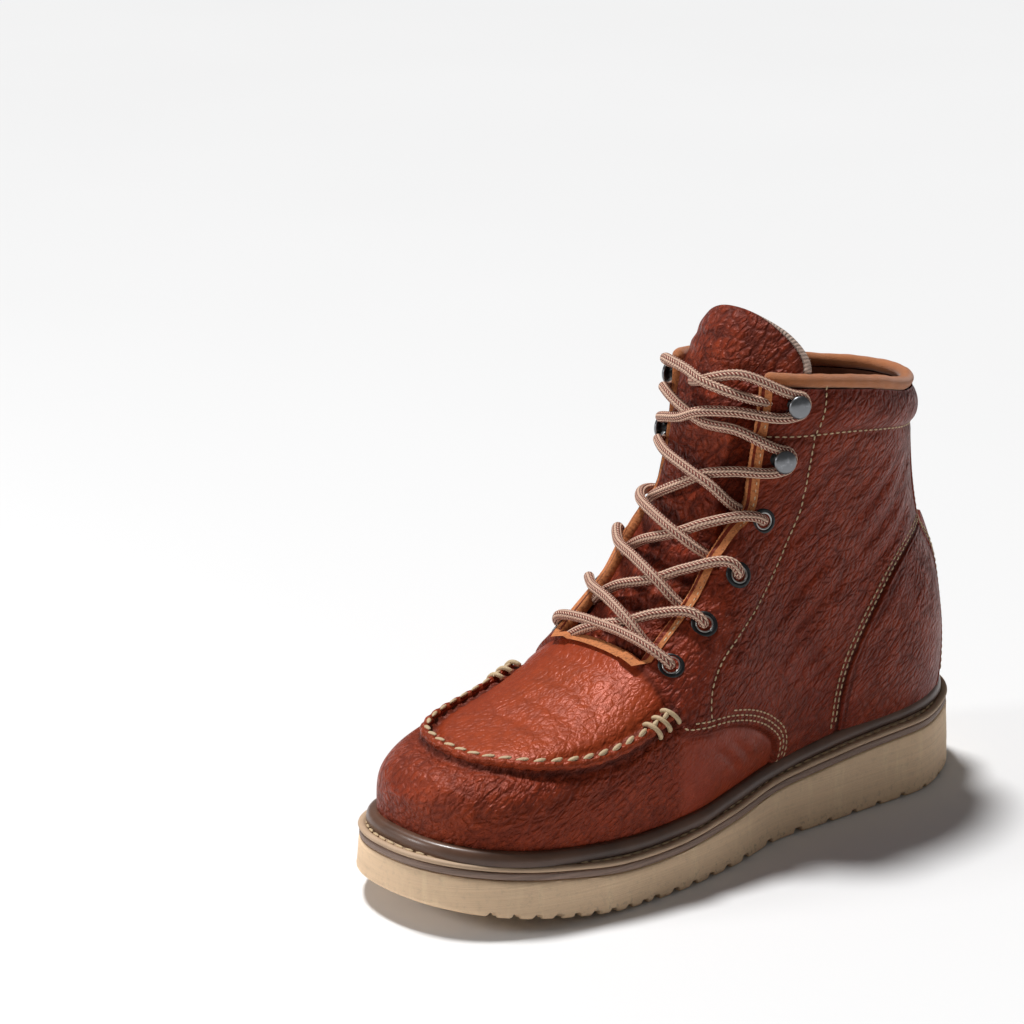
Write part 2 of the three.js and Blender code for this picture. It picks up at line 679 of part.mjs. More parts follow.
const rimPoints = [];
for (let i = 0; i <= RIM_STEPS; i += 1) {
  rimPoints.push(rimPoint(RIM_FROM + ((2 * Math.PI - 2 * RIM_FROM) * i) / RIM_STEPS));
}
addPart('collar_binding', cord(rimPoints, BINDING, 8, 36), COLOURS.suede);

// Tongue, under the facings and free above them. Its middle follows the throat's ridge.
const TONGUE_ROWS = [
  { at: 0.668, height: 0.430, lean: 0.50, half: 0.80, sink: 4.4 },
  { at: 0.640, height: 0.457, lean: 0.55, half: 0.86, sink: 3.4 },
  { at: 0.610, height: 0.497, lean: 0.60, half: 0.90, sink: 2.6 },
  { at: 0.580, height: 0.545, lean: 0.65, half: 0.92, sink: 2.2 },
  { at: 0.552, height: 0.592, lean: 0.75, half: 0.94, sink: 2.0 },
  { at: 0.528, height: 0.645, lean: 0.90, half: 0.95, sink: 1.8 },
  { at: 0.508, height: 0.700, lean: 1.05, half: 0.96, sink: 1.6 },
  { at: 0.492, height: 0.760, lean: 1.20, half: 0.97, sink: 1.6 },
  { at: 0.480, height: 0.820, lean: 1.32, half: 0.98, sink: 1.6 },
  { at: 0.468, height: 0.900, lean: 1.38, half: 1.00, sink: 1.6 },
  { at: 0.452, height: 0.980, lean: 1.30, half: 0.98, sink: 1.6 },
  { at: 0.432, height: 1.050, lean: 1.20, half: 0.88, sink: 1.6 },
  { at: 0.412, height: 1.095, lean: 1.05, half: 0.62, sink: 1.6 },
  { at: 0.404, height: 1.106, lean: 1.00, half: 0.38, sink: 1.6 },
];
const TONGUE_ACROSS = 8;
const TONGUE_DROP = 10.5;

const tongueBlank = toSolid(loft(TONGUE_ROWS.map((row) => {
  const out = new THREE.Vector3(Math.sin(row.lean), 0, Math.cos(row.lean));
  const ring = [];
  for (const deep of [0, TONGUE]) {
    for (let i = 0; i <= TONGUE_ACROSS; i += 1) {
      const share = ((deep ? -1 : 1) * (2 * i - TONGUE_ACROSS)) / TONGUE_ACROSS;
      const down = row.sink + deep + TONGUE_DROP * (row.half * share) ** 2;
      const point = new THREE.Vector3(fromShare(row.at), TONGUE_HALF * row.half * share, row.height * BOOT_HEIGHT);
      ring.push(point.addScaledVector(out, -down));
    }
  }
  return ring;
})));
const bindingRoom = toSolid(cord(rimPoints, BINDING + 3 * GAP, 8, 36));
const tongueRoom = insoleForm.add(throatBlock(2 * GAP)).intersect(outer);
addPart('tongue', tongueBlank.intersect(tongueRoom).subtract(bindingRoom), COLOURS.leather);

// Raised seam around the plug of the toe, seen from above: places as shares of LENGTH
// and of HALF_WIDTH. Its lower half is cut away along the upper.
const MOC = [
  [0.642, 0.80], [0.663, 0.80], [0.732, 0.785], [0.7775, 0.745], [0.8175, 0.675], [0.848, 0.58], [0.869, 0.464],
  [0.889, 0.29], [0.897, 0.095], [0.897, -0.10], [0.892, -0.27], [0.880, -0.42], [0.855, -0.53],
  [0.818, -0.60], [0.7435, -0.64], [0.688, -0.66],
];
const mocPoints = MOC.map(([at, across]) => {
  const under = new THREE.Vector3(fromShare(at), across * HALF_WIDTH, (weltTop(fromShare(at)) + crown(fromShare(at))) / 2);
  const point = cast(under, new THREE.Vector3(0, 0, 1));
  return point.addScaledVector(normalAt(point), GAP + MOC_SEAM * 0.2);
});
addPart('moc_seam', toSolid(cord(mocPoints, MOC_SEAM, 6, 44)).subtract(clearForm), COLOURS.leather);

// Lace. A place on it is a row of fasteners, counted from the toe with parts between
// rows, a distance across the throat, and a lift off the ridge.
const LEANS = [0.55, 0.68, 0.95, 1.2, 1.35, 1.4];
const CLEAR = 2.2;

function lacePlace(row, across, lift) {
  const i = Math.min(Math.floor(row), FASTENERS.length - 2);
  const t = row - i;
  const mix = (a, b) => a + (b - a) * t;
  const lean = mix(LEANS[i], LEANS[i + 1]);
  const out = new THREE.Vector3(Math.sin(lean), 0, Math.cos(lean));
  const from = new THREE.Vector3(
    fromShare(mix(FASTENERS[i].at, FASTENERS[i + 1].at)),
    across,
    BOOT_HEIGHT * mix(FASTENERS[i].height, FASTENERS[i + 1].height),
  );
  return cast(from.addScaledVector(out, -12), out).addScaledVector(out, lift + LACE / 2);
}

function overEyelet(row, side) {
  const frame = fastenerFrame(FASTENERS[row], side);
  return frame.point.addScaledVector(frame.out, SEAT + EYELET_LIP + 2 * GAP + LACE / 2);
}

function aroundHook(row, side) {
  const { point, out } = fastenerFrame(FASTENERS[row], side);
  const up = new THREE.Vector3(0, 0, 1).addScaledVector(out, -out.z).normalize();
  const away = new THREE.Vector3().crossVectors(up, out).multiplyScalar(side);
  const reach = HOOK_NECK + LACE / 2 + GAP;
  return [-90, -35, 35, 90].map((degrees) => {
    const angle = THREE.MathUtils.degToRad(degrees);
    return point.clone()
      .addScaledVector(out, (SEAT + 1 + HOOK_RISE - 2.6) / 2)
      .addScaledVector(away, reach * 1.08 * Math.cos(angle))
      .addScaledVector(up, reach * 1.08 * Math.sin(angle));
  });
}

const EDGE = THROAT_HALF * 0.9 - LACE / 2 - 3 * GAP;
const RING_ROOM = [
  [0, -1],
  [EYELET_OUTER + GAP, -1],
  [EYELET_OUTER + GAP, SEAT + EYELET_LIP + GAP],
  [0, SEAT + EYELET_LIP + GAP],
];

// What a strand must stay clear of: the upper's form and the eyelets' rings
let laceLimit = clearForm;
for (const side of [1, -1]) {
  for (const row of FASTENERS.filter(({ name }) => name === 'eyelet')) {
    laceLimit = laceLimit.add(revolve(RING_ROOM, fastenerFrame(row, side), 10));
  }
}
const addLace = (name, solid) => addPart(name, solid.subtract(laceLimit), COLOURS.lace);

const bar = [
  overEyelet(0, 1),
  lacePlace(0, EDGE, CLEAR),
  lacePlace(0, 0, CLEAR),
  lacePlace(0, -EDGE, CLEAR),
  overEyelet(0, -1),
];
addLace('lace_bar', toSolid(cord(bar, LACE, 8, 12)));

// One strand comes out from under a facing and goes over to the next eyelet opposite
function crossing(row, side, lift) {
  return toSolid(cord([
    lacePlace(row + 0.32, side * EDGE, -LACE / 2 + 0.9),
    lacePlace(row + 0.48, side * EDGE * 0.5, CLEAR + lift),
    lacePlace(row + 0.62, 0, CLEAR + lift),
    lacePlace(row + 0.85, -side * EDGE * 0.7, CLEAR + lift * 0.5),
    lacePlace(row + 0.97, -side * EDGE * 1.1, CLEAR),
    overEyelet(row + 1, -side),
  ], LACE, 8, 12));
}

const OVER = LACE * 0.7;
for (let row = 0; row < 3; row += 1) {
  addLace(`lace_crossing_${row + 1}`, crossing(row, 1, 0).add(crossing(row, -1, OVER)));
}

// The last two strands run around the hooks and end behind the facings' tops
function hookStrand(side, lift) {
  const high = CLEAR + lift;
  return toSolid(cord([
    lacePlace(3.3, side * EDGE, -LACE / 2 + 0.9),
    lacePlace(3.38, side * EDGE * 0.8, high - 1),
    lacePlace(3.55, side * EDGE * 0.2, high),
    lacePlace(3.7, -side * EDGE * 0.6, high),
    lacePlace(3.85, -side * EDGE * 1.1, high + 1),
    ...aroundHook(4, -side),
    lacePlace(4.22, -side * EDGE * 1.1, high + 1),
    lacePlace(4.35, -side * EDGE * 0.6, high),
    lacePlace(4.6, side * EDGE * 0.3, high),
    lacePlace(4.78, side * EDGE * 1.1, high + 1),
    ...aroundHook(5, side),
    lacePlace(5.2, side * EDGE * 1.1, high + 1),
    lacePlace(5.2, side * EDGE * 0.5, high),
    lacePlace(5.1, -side * EDGE * 0.2, high),
    lacePlace(4.98, -side * EDGE * 0.9, high),
  ], LACE, 8, 56));
}
addLace('lace_top', hookStrand(1, 0).add(hookStrand(-1, OVER)));

export default boot;
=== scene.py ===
"""The looks of a left work boot with a moc toe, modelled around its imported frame.

Lengths inside the functions are millimetres in the boot's own frame: X from heel to toe,
+Y to the foot's outer side, +Z up, with the floor at 0. Meshes are written in metres.
"""

import math

import bpy
import numpy as np
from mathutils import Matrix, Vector


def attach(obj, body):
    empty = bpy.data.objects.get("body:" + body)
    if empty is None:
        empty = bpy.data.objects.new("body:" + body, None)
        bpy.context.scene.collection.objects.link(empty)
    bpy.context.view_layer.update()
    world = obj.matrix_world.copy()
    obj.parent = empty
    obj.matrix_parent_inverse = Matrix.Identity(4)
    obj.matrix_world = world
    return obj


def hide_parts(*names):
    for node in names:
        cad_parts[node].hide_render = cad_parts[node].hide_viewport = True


bl_info = {
    "name": "Work boot",
    "version": (1, 0, 0),
    "blender": (4, 5, 0),
    "location": "3D View > Sidebar > Boot",
    "description": "Models the finished surfaces of a laced work boot",
    "category": "Add Mesh",
}

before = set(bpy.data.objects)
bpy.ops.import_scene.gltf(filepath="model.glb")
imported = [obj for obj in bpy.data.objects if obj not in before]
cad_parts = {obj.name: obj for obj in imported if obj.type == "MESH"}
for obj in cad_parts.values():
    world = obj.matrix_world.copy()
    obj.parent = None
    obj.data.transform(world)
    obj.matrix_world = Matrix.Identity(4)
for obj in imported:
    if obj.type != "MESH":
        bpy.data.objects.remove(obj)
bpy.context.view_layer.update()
MM = 0.001

# Sizes of the boot, the same as its solids have
LENGTH = 308.0
HALF_WIDTH = 54.5
BOOT_HEIGHT = 200.0
HEEL_HEIGHT = 35.7
TOE_SPRING = 12.2
SPRING_FROM = 0.68
HEEL_BEVEL = 2.7
BEVEL_TO = 0.07
HEEL_ROUND = 55.0
TOE_ROUND = 75.0
GAP = 0.3
WELT = 2.2
MIDSOLE = 3.0
WELT_SHOW = 9.0
HEEL_SHOW = 7.4
UPPER_HEEL_ROUND = 50.0
UPPER_TOE_ROUND = 60.0
WALL = 2.4
BINDING = 5.2
BLEND = 9.0
FRONT_SQUARE = 2.6
BACK_SQUARE = 2.1
FEATHER_DEPTH = 26.0
THROAT_HALF = 25.0
EYELET_OUTER = 5.8
EYELET_BORE = 2.6
SEAT = 0.75
HOOK_HEAD = 4.9
HOOK_NECK = 2.0
HOOK_RISE = 9.6
LACE = 4.4

# Tables of sections: places and widths are shares of the sizes above
OUTLINE = {
    "at": (0.00, 0.07, 0.16, 0.30, 0.42, 0.55, 0.66, 0.75, 0.84, 0.92, 1.00),
    "outer": (0.80, 0.80, 0.84, 0.82, 0.797, 0.933, 1.00, 1.00, 0.975, 0.955, 0.95),
    "inner": (0.80, 0.80, 0.773, 0.758, 0.696, 0.784, 0.927, 0.985, 0.955, 0.93, 0.92),
    "bend": (0, 0, 0, 0, 0, 0, -0.002, -0.009, -0.040, -0.058, -0.085),
}
SOLE_TOP = {"at": (0, 0.25, 0.5, 0.7, 0.85, 1), "height": (1, 0.924, 0.728, 0.602, 0.714, 0.891)}
PLAN = {
    "at": (0.03, 0.16, 0.27, 0.38, 0.45, 0.53, 0.61, 0.70, 0.80, 0.90, 1.0),
    "outer": (0.835, 0.826, 0.826, 0.848, 0.902, 1.01, 1.083, 1.075, 1.04, 1.045, 1.06),
    "inner": (0.80, 0.804, 0.81, 0.815, 0.843, 0.90, 0.97, 1.02, 0.985, 0.97, 0.96),
    "tuck": (0.04, 0.05, 0.07, 0.12, 0.15, 0.13, 0.10, 0.09, 0.07, 0.05, 0.04),
}
CROWN = {
    "at": (0.15, 0.33, 0.42, 0.475, 0.51, 0.552, 0.61, 0.65, 0.715, 0.78, 0.845, 0.91, 0.945, 0.97),
    "height": (0.55, 0.70, 0.75, 0.745, 0.69, 0.59, 0.50, 0.447, 0.395, 0.36, 0.333, 0.306, 0.288, 0.25),
    "square": (2.2, 2.3, 2.4, 2.5, 2.5, 2.5, 2.5, 2.5, 2.5, 2.6, 2.8, 3.0, 3.0, 3.0),
}
SHAFT = {
    "at": (0.075, 0.225, 0.31, 0.45, 0.59, 0.675, 0.80, 0.94, 1.15),
    "back": (0.035, 0.0245, 0.0225, 0.040, 0.068, 0.080, 0.0905, 0.096, 0.098),
    "front": (0.36, 0.37, 0.40, 0.46, 0.50, 0.50, 0.478, 0.464, 0.458),
    "half": (0.74, 0.80, 0.815, 0.79, 0.755, 0.75, 0.77, 0.785, 0.80),
}
TOPLINE = {"at": (0.05, 0.15, 0.25, 0.345, 0.45, 0.60), "height": (0.905, 0.915, 0.95, 0.975, 0.995, 1.01)}
THROAT = {
    "height": (0.462, 0.500, 0.590, 0.690, 0.800, 0.940, 1.200),
    "half": (0.98, 0.98, 0.98, 1.00, 0.97, 1.00, 1.04),
}
TREAD = (
    (0.10, 0.34, 6, 3.4, 0.7),
    (0.40, 0.52, 3, 5.0, 0.9),
    (0.56, 0.70, 5, 4.2, 0.8),
    (0.72, 0.93, 9, 3.4, 0.7),
)
TREAD_DEPTH = 3.2
FASTENERS = (
    ("eyelet", 0.617, 0.440),
    ("eyelet", 0.558, 0.508),
    ("eyelet", 0.497, 0.594),
    ("eyelet", 0.436, 0.685),
    ("hook", 0.412, 0.812),
    ("hook", 0.394, 0.925),
)
LEANS = (0.55, 0.68, 0.95, 1.2, 1.35, 1.4)
# How far the padded collar swells out of the shaft
COLLAR_PAD = 2.6

# Seams on the outer side, as points near the surface; the inner side mirrors them
WING = ((45, 26, 87), (44.5, 34, 81), (43.5, 42, 74.5), (42, 47, 64.5), (31, 47.5, 62), (17, 47, 61),
        (0, 44, 56.5), (-12, 42, 50), (-19, 40, 43), (-20, 39, 34), (-18, 38, 24))
EYESTAY = ((-48.2, 35, 192), (-46.5, 34.5, 181), (-43.3, 34, 168.4), (-41, 33.5, 155), (-38.5, 32.5, 142),
           (-34, 32.5, 132), (-23.7, 33.1, 117.9), (-8, 36, 104.5), (6.7, 41, 94.6), (17, 43, 86.5),
           (23, 45, 79), (25.5, 47, 72), (25.5, 47.6, 64))
COUNTER_TOP = ((-148, 14, 113), (-128, 26, 113), (-112, 31, 109), (-98, 34, 102), (-84, 36.5, 91),
               (-72, 38, 78), (-64.5, 38.5, 66), (-61, 38.5, 54), (-60, 38, 42), (-60, 37, 30))
COLLAR = ((-131, 0, 160), (-122, 21, 160.5), (-104, 31, 162.5), (-84, 34, 166), (-62, 35.5, 169),
          (-33, 31.5, 171), (-22, 25.5, 172))
MOC = ((43.8, 43.6), (50.2, 43.6), (71.5, 42.8), (85.5, 40.6), (97.8, 36.8), (107.2, 31.6), (113.6, 25.3),
       (119.8, 15.8), (122.3, 5.2), (122.3, -5.5), (120.7, -14.7), (117, -22.9), (109.3, -28.9),
       (98, -32.7), (75, -34.9), (58, -36))


def smooth(table, key, place):
    """Value of a column at places, by a cubic through the rows that never overshoots."""
    at = np.asarray(table["at"], float)
    rows = np.asarray(table[key], float)
    steps = np.diff(at)
    slopes = np.diff(rows) / steps
    tangents = np.zeros_like(rows)
    product = slopes[:-1] * slopes[1:]
    total = np.where(product > 0, slopes[:-1] + slopes[1:], 1)
    tangents[1:-1] = np.where(product > 0, 2 * product / total, 0)
    tangents[0], tangents[-1] = slopes[0], slopes[-1]
    x = np.clip(place, at[0], at[-1])
    i = np.clip(np.searchsorted(at, x, side="right") - 1, 0, len(steps) - 1)
    t = (x - at[i]) / steps[i]
    ends = rows[i] * (1 + 2 * t) * (1 - t) ** 2 + rows[i + 1] * t * t * (3 - 2 * t)
    return ends + steps[i] * (tangents[i] * t * (1 - t) ** 2 - tangents[i + 1] * t * t * (1 - t))


def to_share(x):
    return x / LENGTH + 0.5


def from_share(at):
    return (at - 0.5) * LENGTH


def round_end(distance, reach, power):
    s = np.clip(distance / reach, 0, 1)
    return (1 - (1 - s) ** power) ** (1 / power)


def smoothstep(low, high, value):
    t = np.clip((value - low) / (high - low), 0, 1)
    return t * t * (3 - 2 * t)


def bump(value, width):
    return np.exp(-((value / width) ** 2))


def welt_top(x):
    return HEEL_HEIGHT * smooth(SOLE_TOP, "height", to_share(x))


def outsole_bottom(x):
    at = to_share(x)
    spring = np.maximum(0, (at - SPRING_FROM) / (1 - SPRING_FROM))
    bevel = np.maximum(0, (BEVEL_TO - at) / BEVEL_TO)
    return TOE_SPRING * spring**2 + HEEL_BEVEL * bevel**2


def crown(x):
    return BOOT_HEIGHT * smooth(CROWN, "height", to_share(x))


def bend(x):
    return HALF_WIDTH * smooth(OUTLINE, "bend", to_share(x))


def topline(x):
    return BOOT_HEIGHT * smooth(TOPLINE, "height", to_share(x))


def rim(x):
    return topline(x) - BINDING - GAP


def sole_edge(side, x, inset=0.0):
    """The sole's edge on one side (+1 outer, -1 inner), moved in by an inset."""
    outer = smooth(OUTLINE, "outer", to_share(x))
    inner = smooth(OUTLINE, "inner", to_share(x))
    half = HALF_WIDTH * np.where(side > 0, outer, inner) - inset
    half = half * round_end(x + LENGTH / 2 - inset, HEEL_ROUND, 2)
    half = half * round_end(LENGTH / 2 - inset - x, TOE_ROUND, 2.3)
    return bend(x) + side * half


def foot_form(x, y, z):
    at = to_share(x)
    base = welt_top(x) - WELT
    top = crown(x)
    widest = base + 0.42 * np.minimum(top - base, 60)
    square = smooth(CROWN, "square", at)
    side = y - bend(x)
    half = np.where(side > 0, smooth(PLAN, "outer", at), smooth(PLAN, "inner", at))
    half = half * (HALF_WIDTH - WELT_SHOW)
    half = half * round_end(x + LENGTH / 2 - HEEL_SHOW, UPPER_HEEL_ROUND, 2)
    half = half * round_end(LENGTH / 2 - WELT_SHOW - x, UPPER_TOE_ROUND, 2.4)
    low = np.clip((widest - z) / (widest - base), 0, 1)
    half = np.maximum(half * (1 - smooth(PLAN, "tuck", at) * low**2), 0.01)
    rise = np.maximum(0, (z - widest) / (top - widest))
    drop = np.maximum(0, (base - z) / FEATHER_DEPTH)
    level = np.maximum((np.abs(side) / half) ** square + rise**square + drop**6, 1e-9)
    beyond = np.abs(x - (HEEL_SHOW - WELT_SHOW) / 2) - (LENGTH - HEEL_SHOW - WELT_SHOW) / 2
    return np.maximum(np.hypot(side, z - widest) * (1 - level ** (-1 / square)), beyond)


def shaft_form(x, y, z):
    v = z / BOOT_HEIGHT
    back = from_share(smooth(SHAFT, "back", v))
    front = from_share(smooth(SHAFT, "front", v))
    half = (HALF_WIDTH - WELT_SHOW) * smooth(SHAFT, "half", v)
    middle = (back + front) / 2
    reach = (front - back) / 2
    square = np.where(x > middle, FRONT_SQUARE, BACK_SQUARE)
    drop = np.maximum(0, (welt_top(x) - WELT - z) / FEATHER_DEPTH)
    level = (np.abs(x - middle) / reach) ** square + (np.abs(y) / half) ** square + drop**6
    reach = np.sqrt((x - middle) ** 2 + y**2 + (drop * FEATHER_DEPTH) ** 2)
    return reach * (1 - np.maximum(level, 1e-9) ** (-1 / square))


def form(points):
    """Signed distance, near enough, from points to the upper's outside."""
    x, y, z = points[..., 0], points[..., 1], points[..., 2]
    foot = foot_form(x, y, z)
    shaft = shaft_form(x, y, z)
    h = np.clip(0.5 + 0.5 * (shaft - foot) / BLEND, 0, 1)
    return shaft + (foot - shaft) * h - BLEND * h * (1 - h)


def normals_at(points):
    """Unit normals of the form at points."""
    step = 0.25
    parts = []
    for axis in range(3):
        shift = np.zeros(3)
        shift[axis] = step
        parts.append(form(points + shift) - form(points - shift))
    normal = np.stack(parts, -1)
    return normal / np.maximum(np.linalg.norm(normal, axis=-1, keepdims=True), 1e-9)


def cast(origins, ways, far=LENGTH):
    """Where rays from inside the form leave it."""
    ways = ways / np.linalg.norm(ways, axis=-1, keepdims=True)
    low = np.zeros(ways.shape[:-1])
    high = np.full(ways.shape[:-1], float(far))
    for _ in range(26):
        middle = (low + high) / 2
        inside = form(origins + ways * middle[..., None]) < 0
        low = np.where(inside, middle, low)
        high = np.where(inside, high, middle)
    return origins + ways * ((low + high) / 2)[..., None]


def onto_form(points):
    """Points moved to the nearest place on the form."""
    points = np.asarray(points, float).copy()
    for _ in range(6):
        points -= normals_at(points) * form(points)[..., None]
    return points


def curve_through(points, count, closed=False):
    """A smooth curve through points, sampled at equal steps."""
    points = np.asarray(points, float)
    knots = np.concatenate([[0], np.cumsum(np.linalg.norm(np.diff(points, axis=0), axis=1))])
    fine = np.linspace(0, knots[-1], 24 * len(points))
    columns = []
    for axis in range(points.shape[1]):
        columns.append(catmull(knots, points[:, axis], fine))
    dense = np.stack(columns, -1)
    arc = np.concatenate([[0], np.cumsum(np.linalg.norm(np.diff(dense, axis=0), axis=1))])
    wanted = np.linspace(0, arc[-1], count)
    return np.stack([np.interp(wanted, arc, dense[:, axis]) for axis in range(points.shape[1])], -1)


def catmull(knots, values, places):
    """Cubic through values with tangents from each knot's neighbours."""
    tangents = np.gradient(values, knots)
    i = np.clip(np.searchsorted(knots, places, side="right") - 1, 0, len(knots) - 2)
    step = knots[i + 1] - knots[i]
    t = (places - knots[i]) / step
    ends = values[i] * (1 + 2 * t) * (1 - t) ** 2 + values[i + 1] * t * t * (3 - 2 * t)
    return ends + step * (tangents[i] * t * (1 - t) ** 2 - tangents[i + 1] * t * t * (1 - t))


def mirrored(points, side):
    """The same seam on the outer (+1) or the inner (-1) side."""
    return np.asarray(points, float) * (1, side, 1)


def seam_distance(points, normals, seam, side=1):
    """Signed distance along the surface to a seam, and the length along it.

    Distances are positive to the left of the seam, seen from outside, for side +1.
    """
    flat = points.reshape(-1, 3)
    flat_normals = normals.reshape(-1, 3)
    best = np.full(len(flat), 1e9)
    sign = np.ones(len(flat))
    along = np.zeros(len(flat))
    length = 0.0
    for a, b in zip(seam[:-1], seam[1:]):
        ab = b - a
        reach = np.linalg.norm(ab)
        t = np.clip((flat - a) @ ab / reach**2, 0, 1)
        away = flat - (a + t[:, None] * ab)
        distance = np.linalg.norm(away, axis=1)
        nearer = distance < best
        left = np.cross(flat_normals, ab[None, :])
        best = np.where(nearer, distance, best)
        sign = np.where(nearer, np.sign((left * away).sum(1)) * side, sign)
        along = np.where(nearer, length + t * reach, along)
        length += reach
    shape = points.shape[:-1]
    return (best * sign).reshape(shape), along.reshape(shape)


SEAMS = {}
for seam_side in (1, -1):
    SEAMS["wing", seam_side] = onto_form(curve_through(mirrored(WING, seam_side), 60))
    SEAMS["eyestay", seam_side] = onto_form(curve_through(mirrored(EYESTAY, seam_side), 70))
    SEAMS["counter", seam_side] = onto_form(curve_through(mirrored(COUNTER_TOP, seam_side), 60))
    SEAMS["collar", seam_side] = onto_form(curve_through(mirrored(COLLAR, seam_side), 50))
moc_plan = curve_through(MOC, 110)
moc_floor = np.column_stack([moc_plan, (welt_top(moc_plan[:, 0]) + crown(moc_plan[:, 0])) / 2])
SEAMS["moc", 0] = cast(moc_floor, np.tile((0.0, 0.0, 1.0), (len(moc_floor), 1)))

# Creases listed one by one: start, middle and end near the surface, then depth and width
CREASES = (
    ((-62, 36, 118), (-40, 34, 108), (-12, 38, 88), 0.75, 2.2),
    ((-70, 36, 108), (-44, 36, 96), (-14, 41, 76), 0.8, 2.4),
    ((-58, 38, 96), (-34, 38, 84), (-8, 43, 68), 0.7, 2.1),
    ((-60, 38, 84), (-38, 39, 73), (-16, 41, 60), 0.6, 2.0),
    ((-56, 38, 72), (-40, 39, 63), (-26, 40, 54), 0.6, 1.8),
    ((-104, 31, 150), (-86, 33, 138), (-62, 34, 124), 0.8, 2.2),
    ((-112, 28, 138), (-90, 33, 124), (-66, 36, 112), 0.85, 2.4),
    ((-116, 27, 128), (-96, 33, 114), (-76, 36, 102), 0.7, 2.2),
    ((-96, 32, 156), (-80, 34, 147), (-60, 34, 137), 0.6, 1.8),
    ((-118, 22, 149), (-106, 28, 140), (-92, 32, 131), 0.6, 1.8),
    ((-50, 34, 150), (-36, 33, 143), (-24, 31, 141), 0.5, 1.8),
    ((-52, 34, 136), (-38, 33, 128), (-26, 33, 124), 0.5, 1.8),
    ((-10, 38, 99), (4, 40, 92), (14, 42, 84), 0.45, 1.6),
    ((62, 47, 48), (58, 48, 38), (55, 46, 29), 0.5, 1.6),
    ((44, 48, 52), (40, 48, 40), (37, 47, 29), 0.45, 1.6),
    ((26, 48, 54), (12, 47, 45), (4, 44, 34), 0.6, 2.0),
    ((14, 46, 54), (2, 44, 45), (-6, 42, 37), 0.5, 1.8),
)
TOP_CREASES = (
    ((58, 34, 78), (54, 10, 86), (56, -20, 84), 0.5, 2.2),
    ((70, 32, 73), (66, 8, 79), (67, -18, 78), 0.55, 2.4),
    ((82, 30, 69), (79, 6, 74), (80, -16, 73), 0.4, 2.0),
    ((94, 24, 66), (92, 4, 70), (93, -14, 69), 0.35, 1.8),
)


def crease_depth(points, normals):
    """Listed troughs with soft shoulders beside them."""
    total = np.zeros(points.shape[:-1])
    strokes = [(stroke, side) for stroke in CREASES for side in (1, -1)]
    strokes += [(stroke, 1) for stroke in TOP_CREASES]
    for (a, b, c, depth, width), side in strokes:
        line = onto_form(curve_through(mirrored((a, b, c), side), 7))
        near = np.abs(points - line[3]).max(-1) < 45
        if not near.any():
            continue
        distance, along = seam_distance(points[near], normals[near], line)
        reach = np.linalg.norm(np.diff(line, axis=0), axis=1).sum()
        taper = np.clip(np.minimum(along, reach - along) / (0.3 * reach), 0, 1)
        taper = taper * bump(np.maximum(np.abs(along - reach / 2) - reach / 2, 0), 1.0)
        shape = -bump(distance, width) + 0.45 * bump(distance - 2 * width, 1.4 * width)
        total[near] += depth * shape * smoothstep(0, 1, taper)
    return total


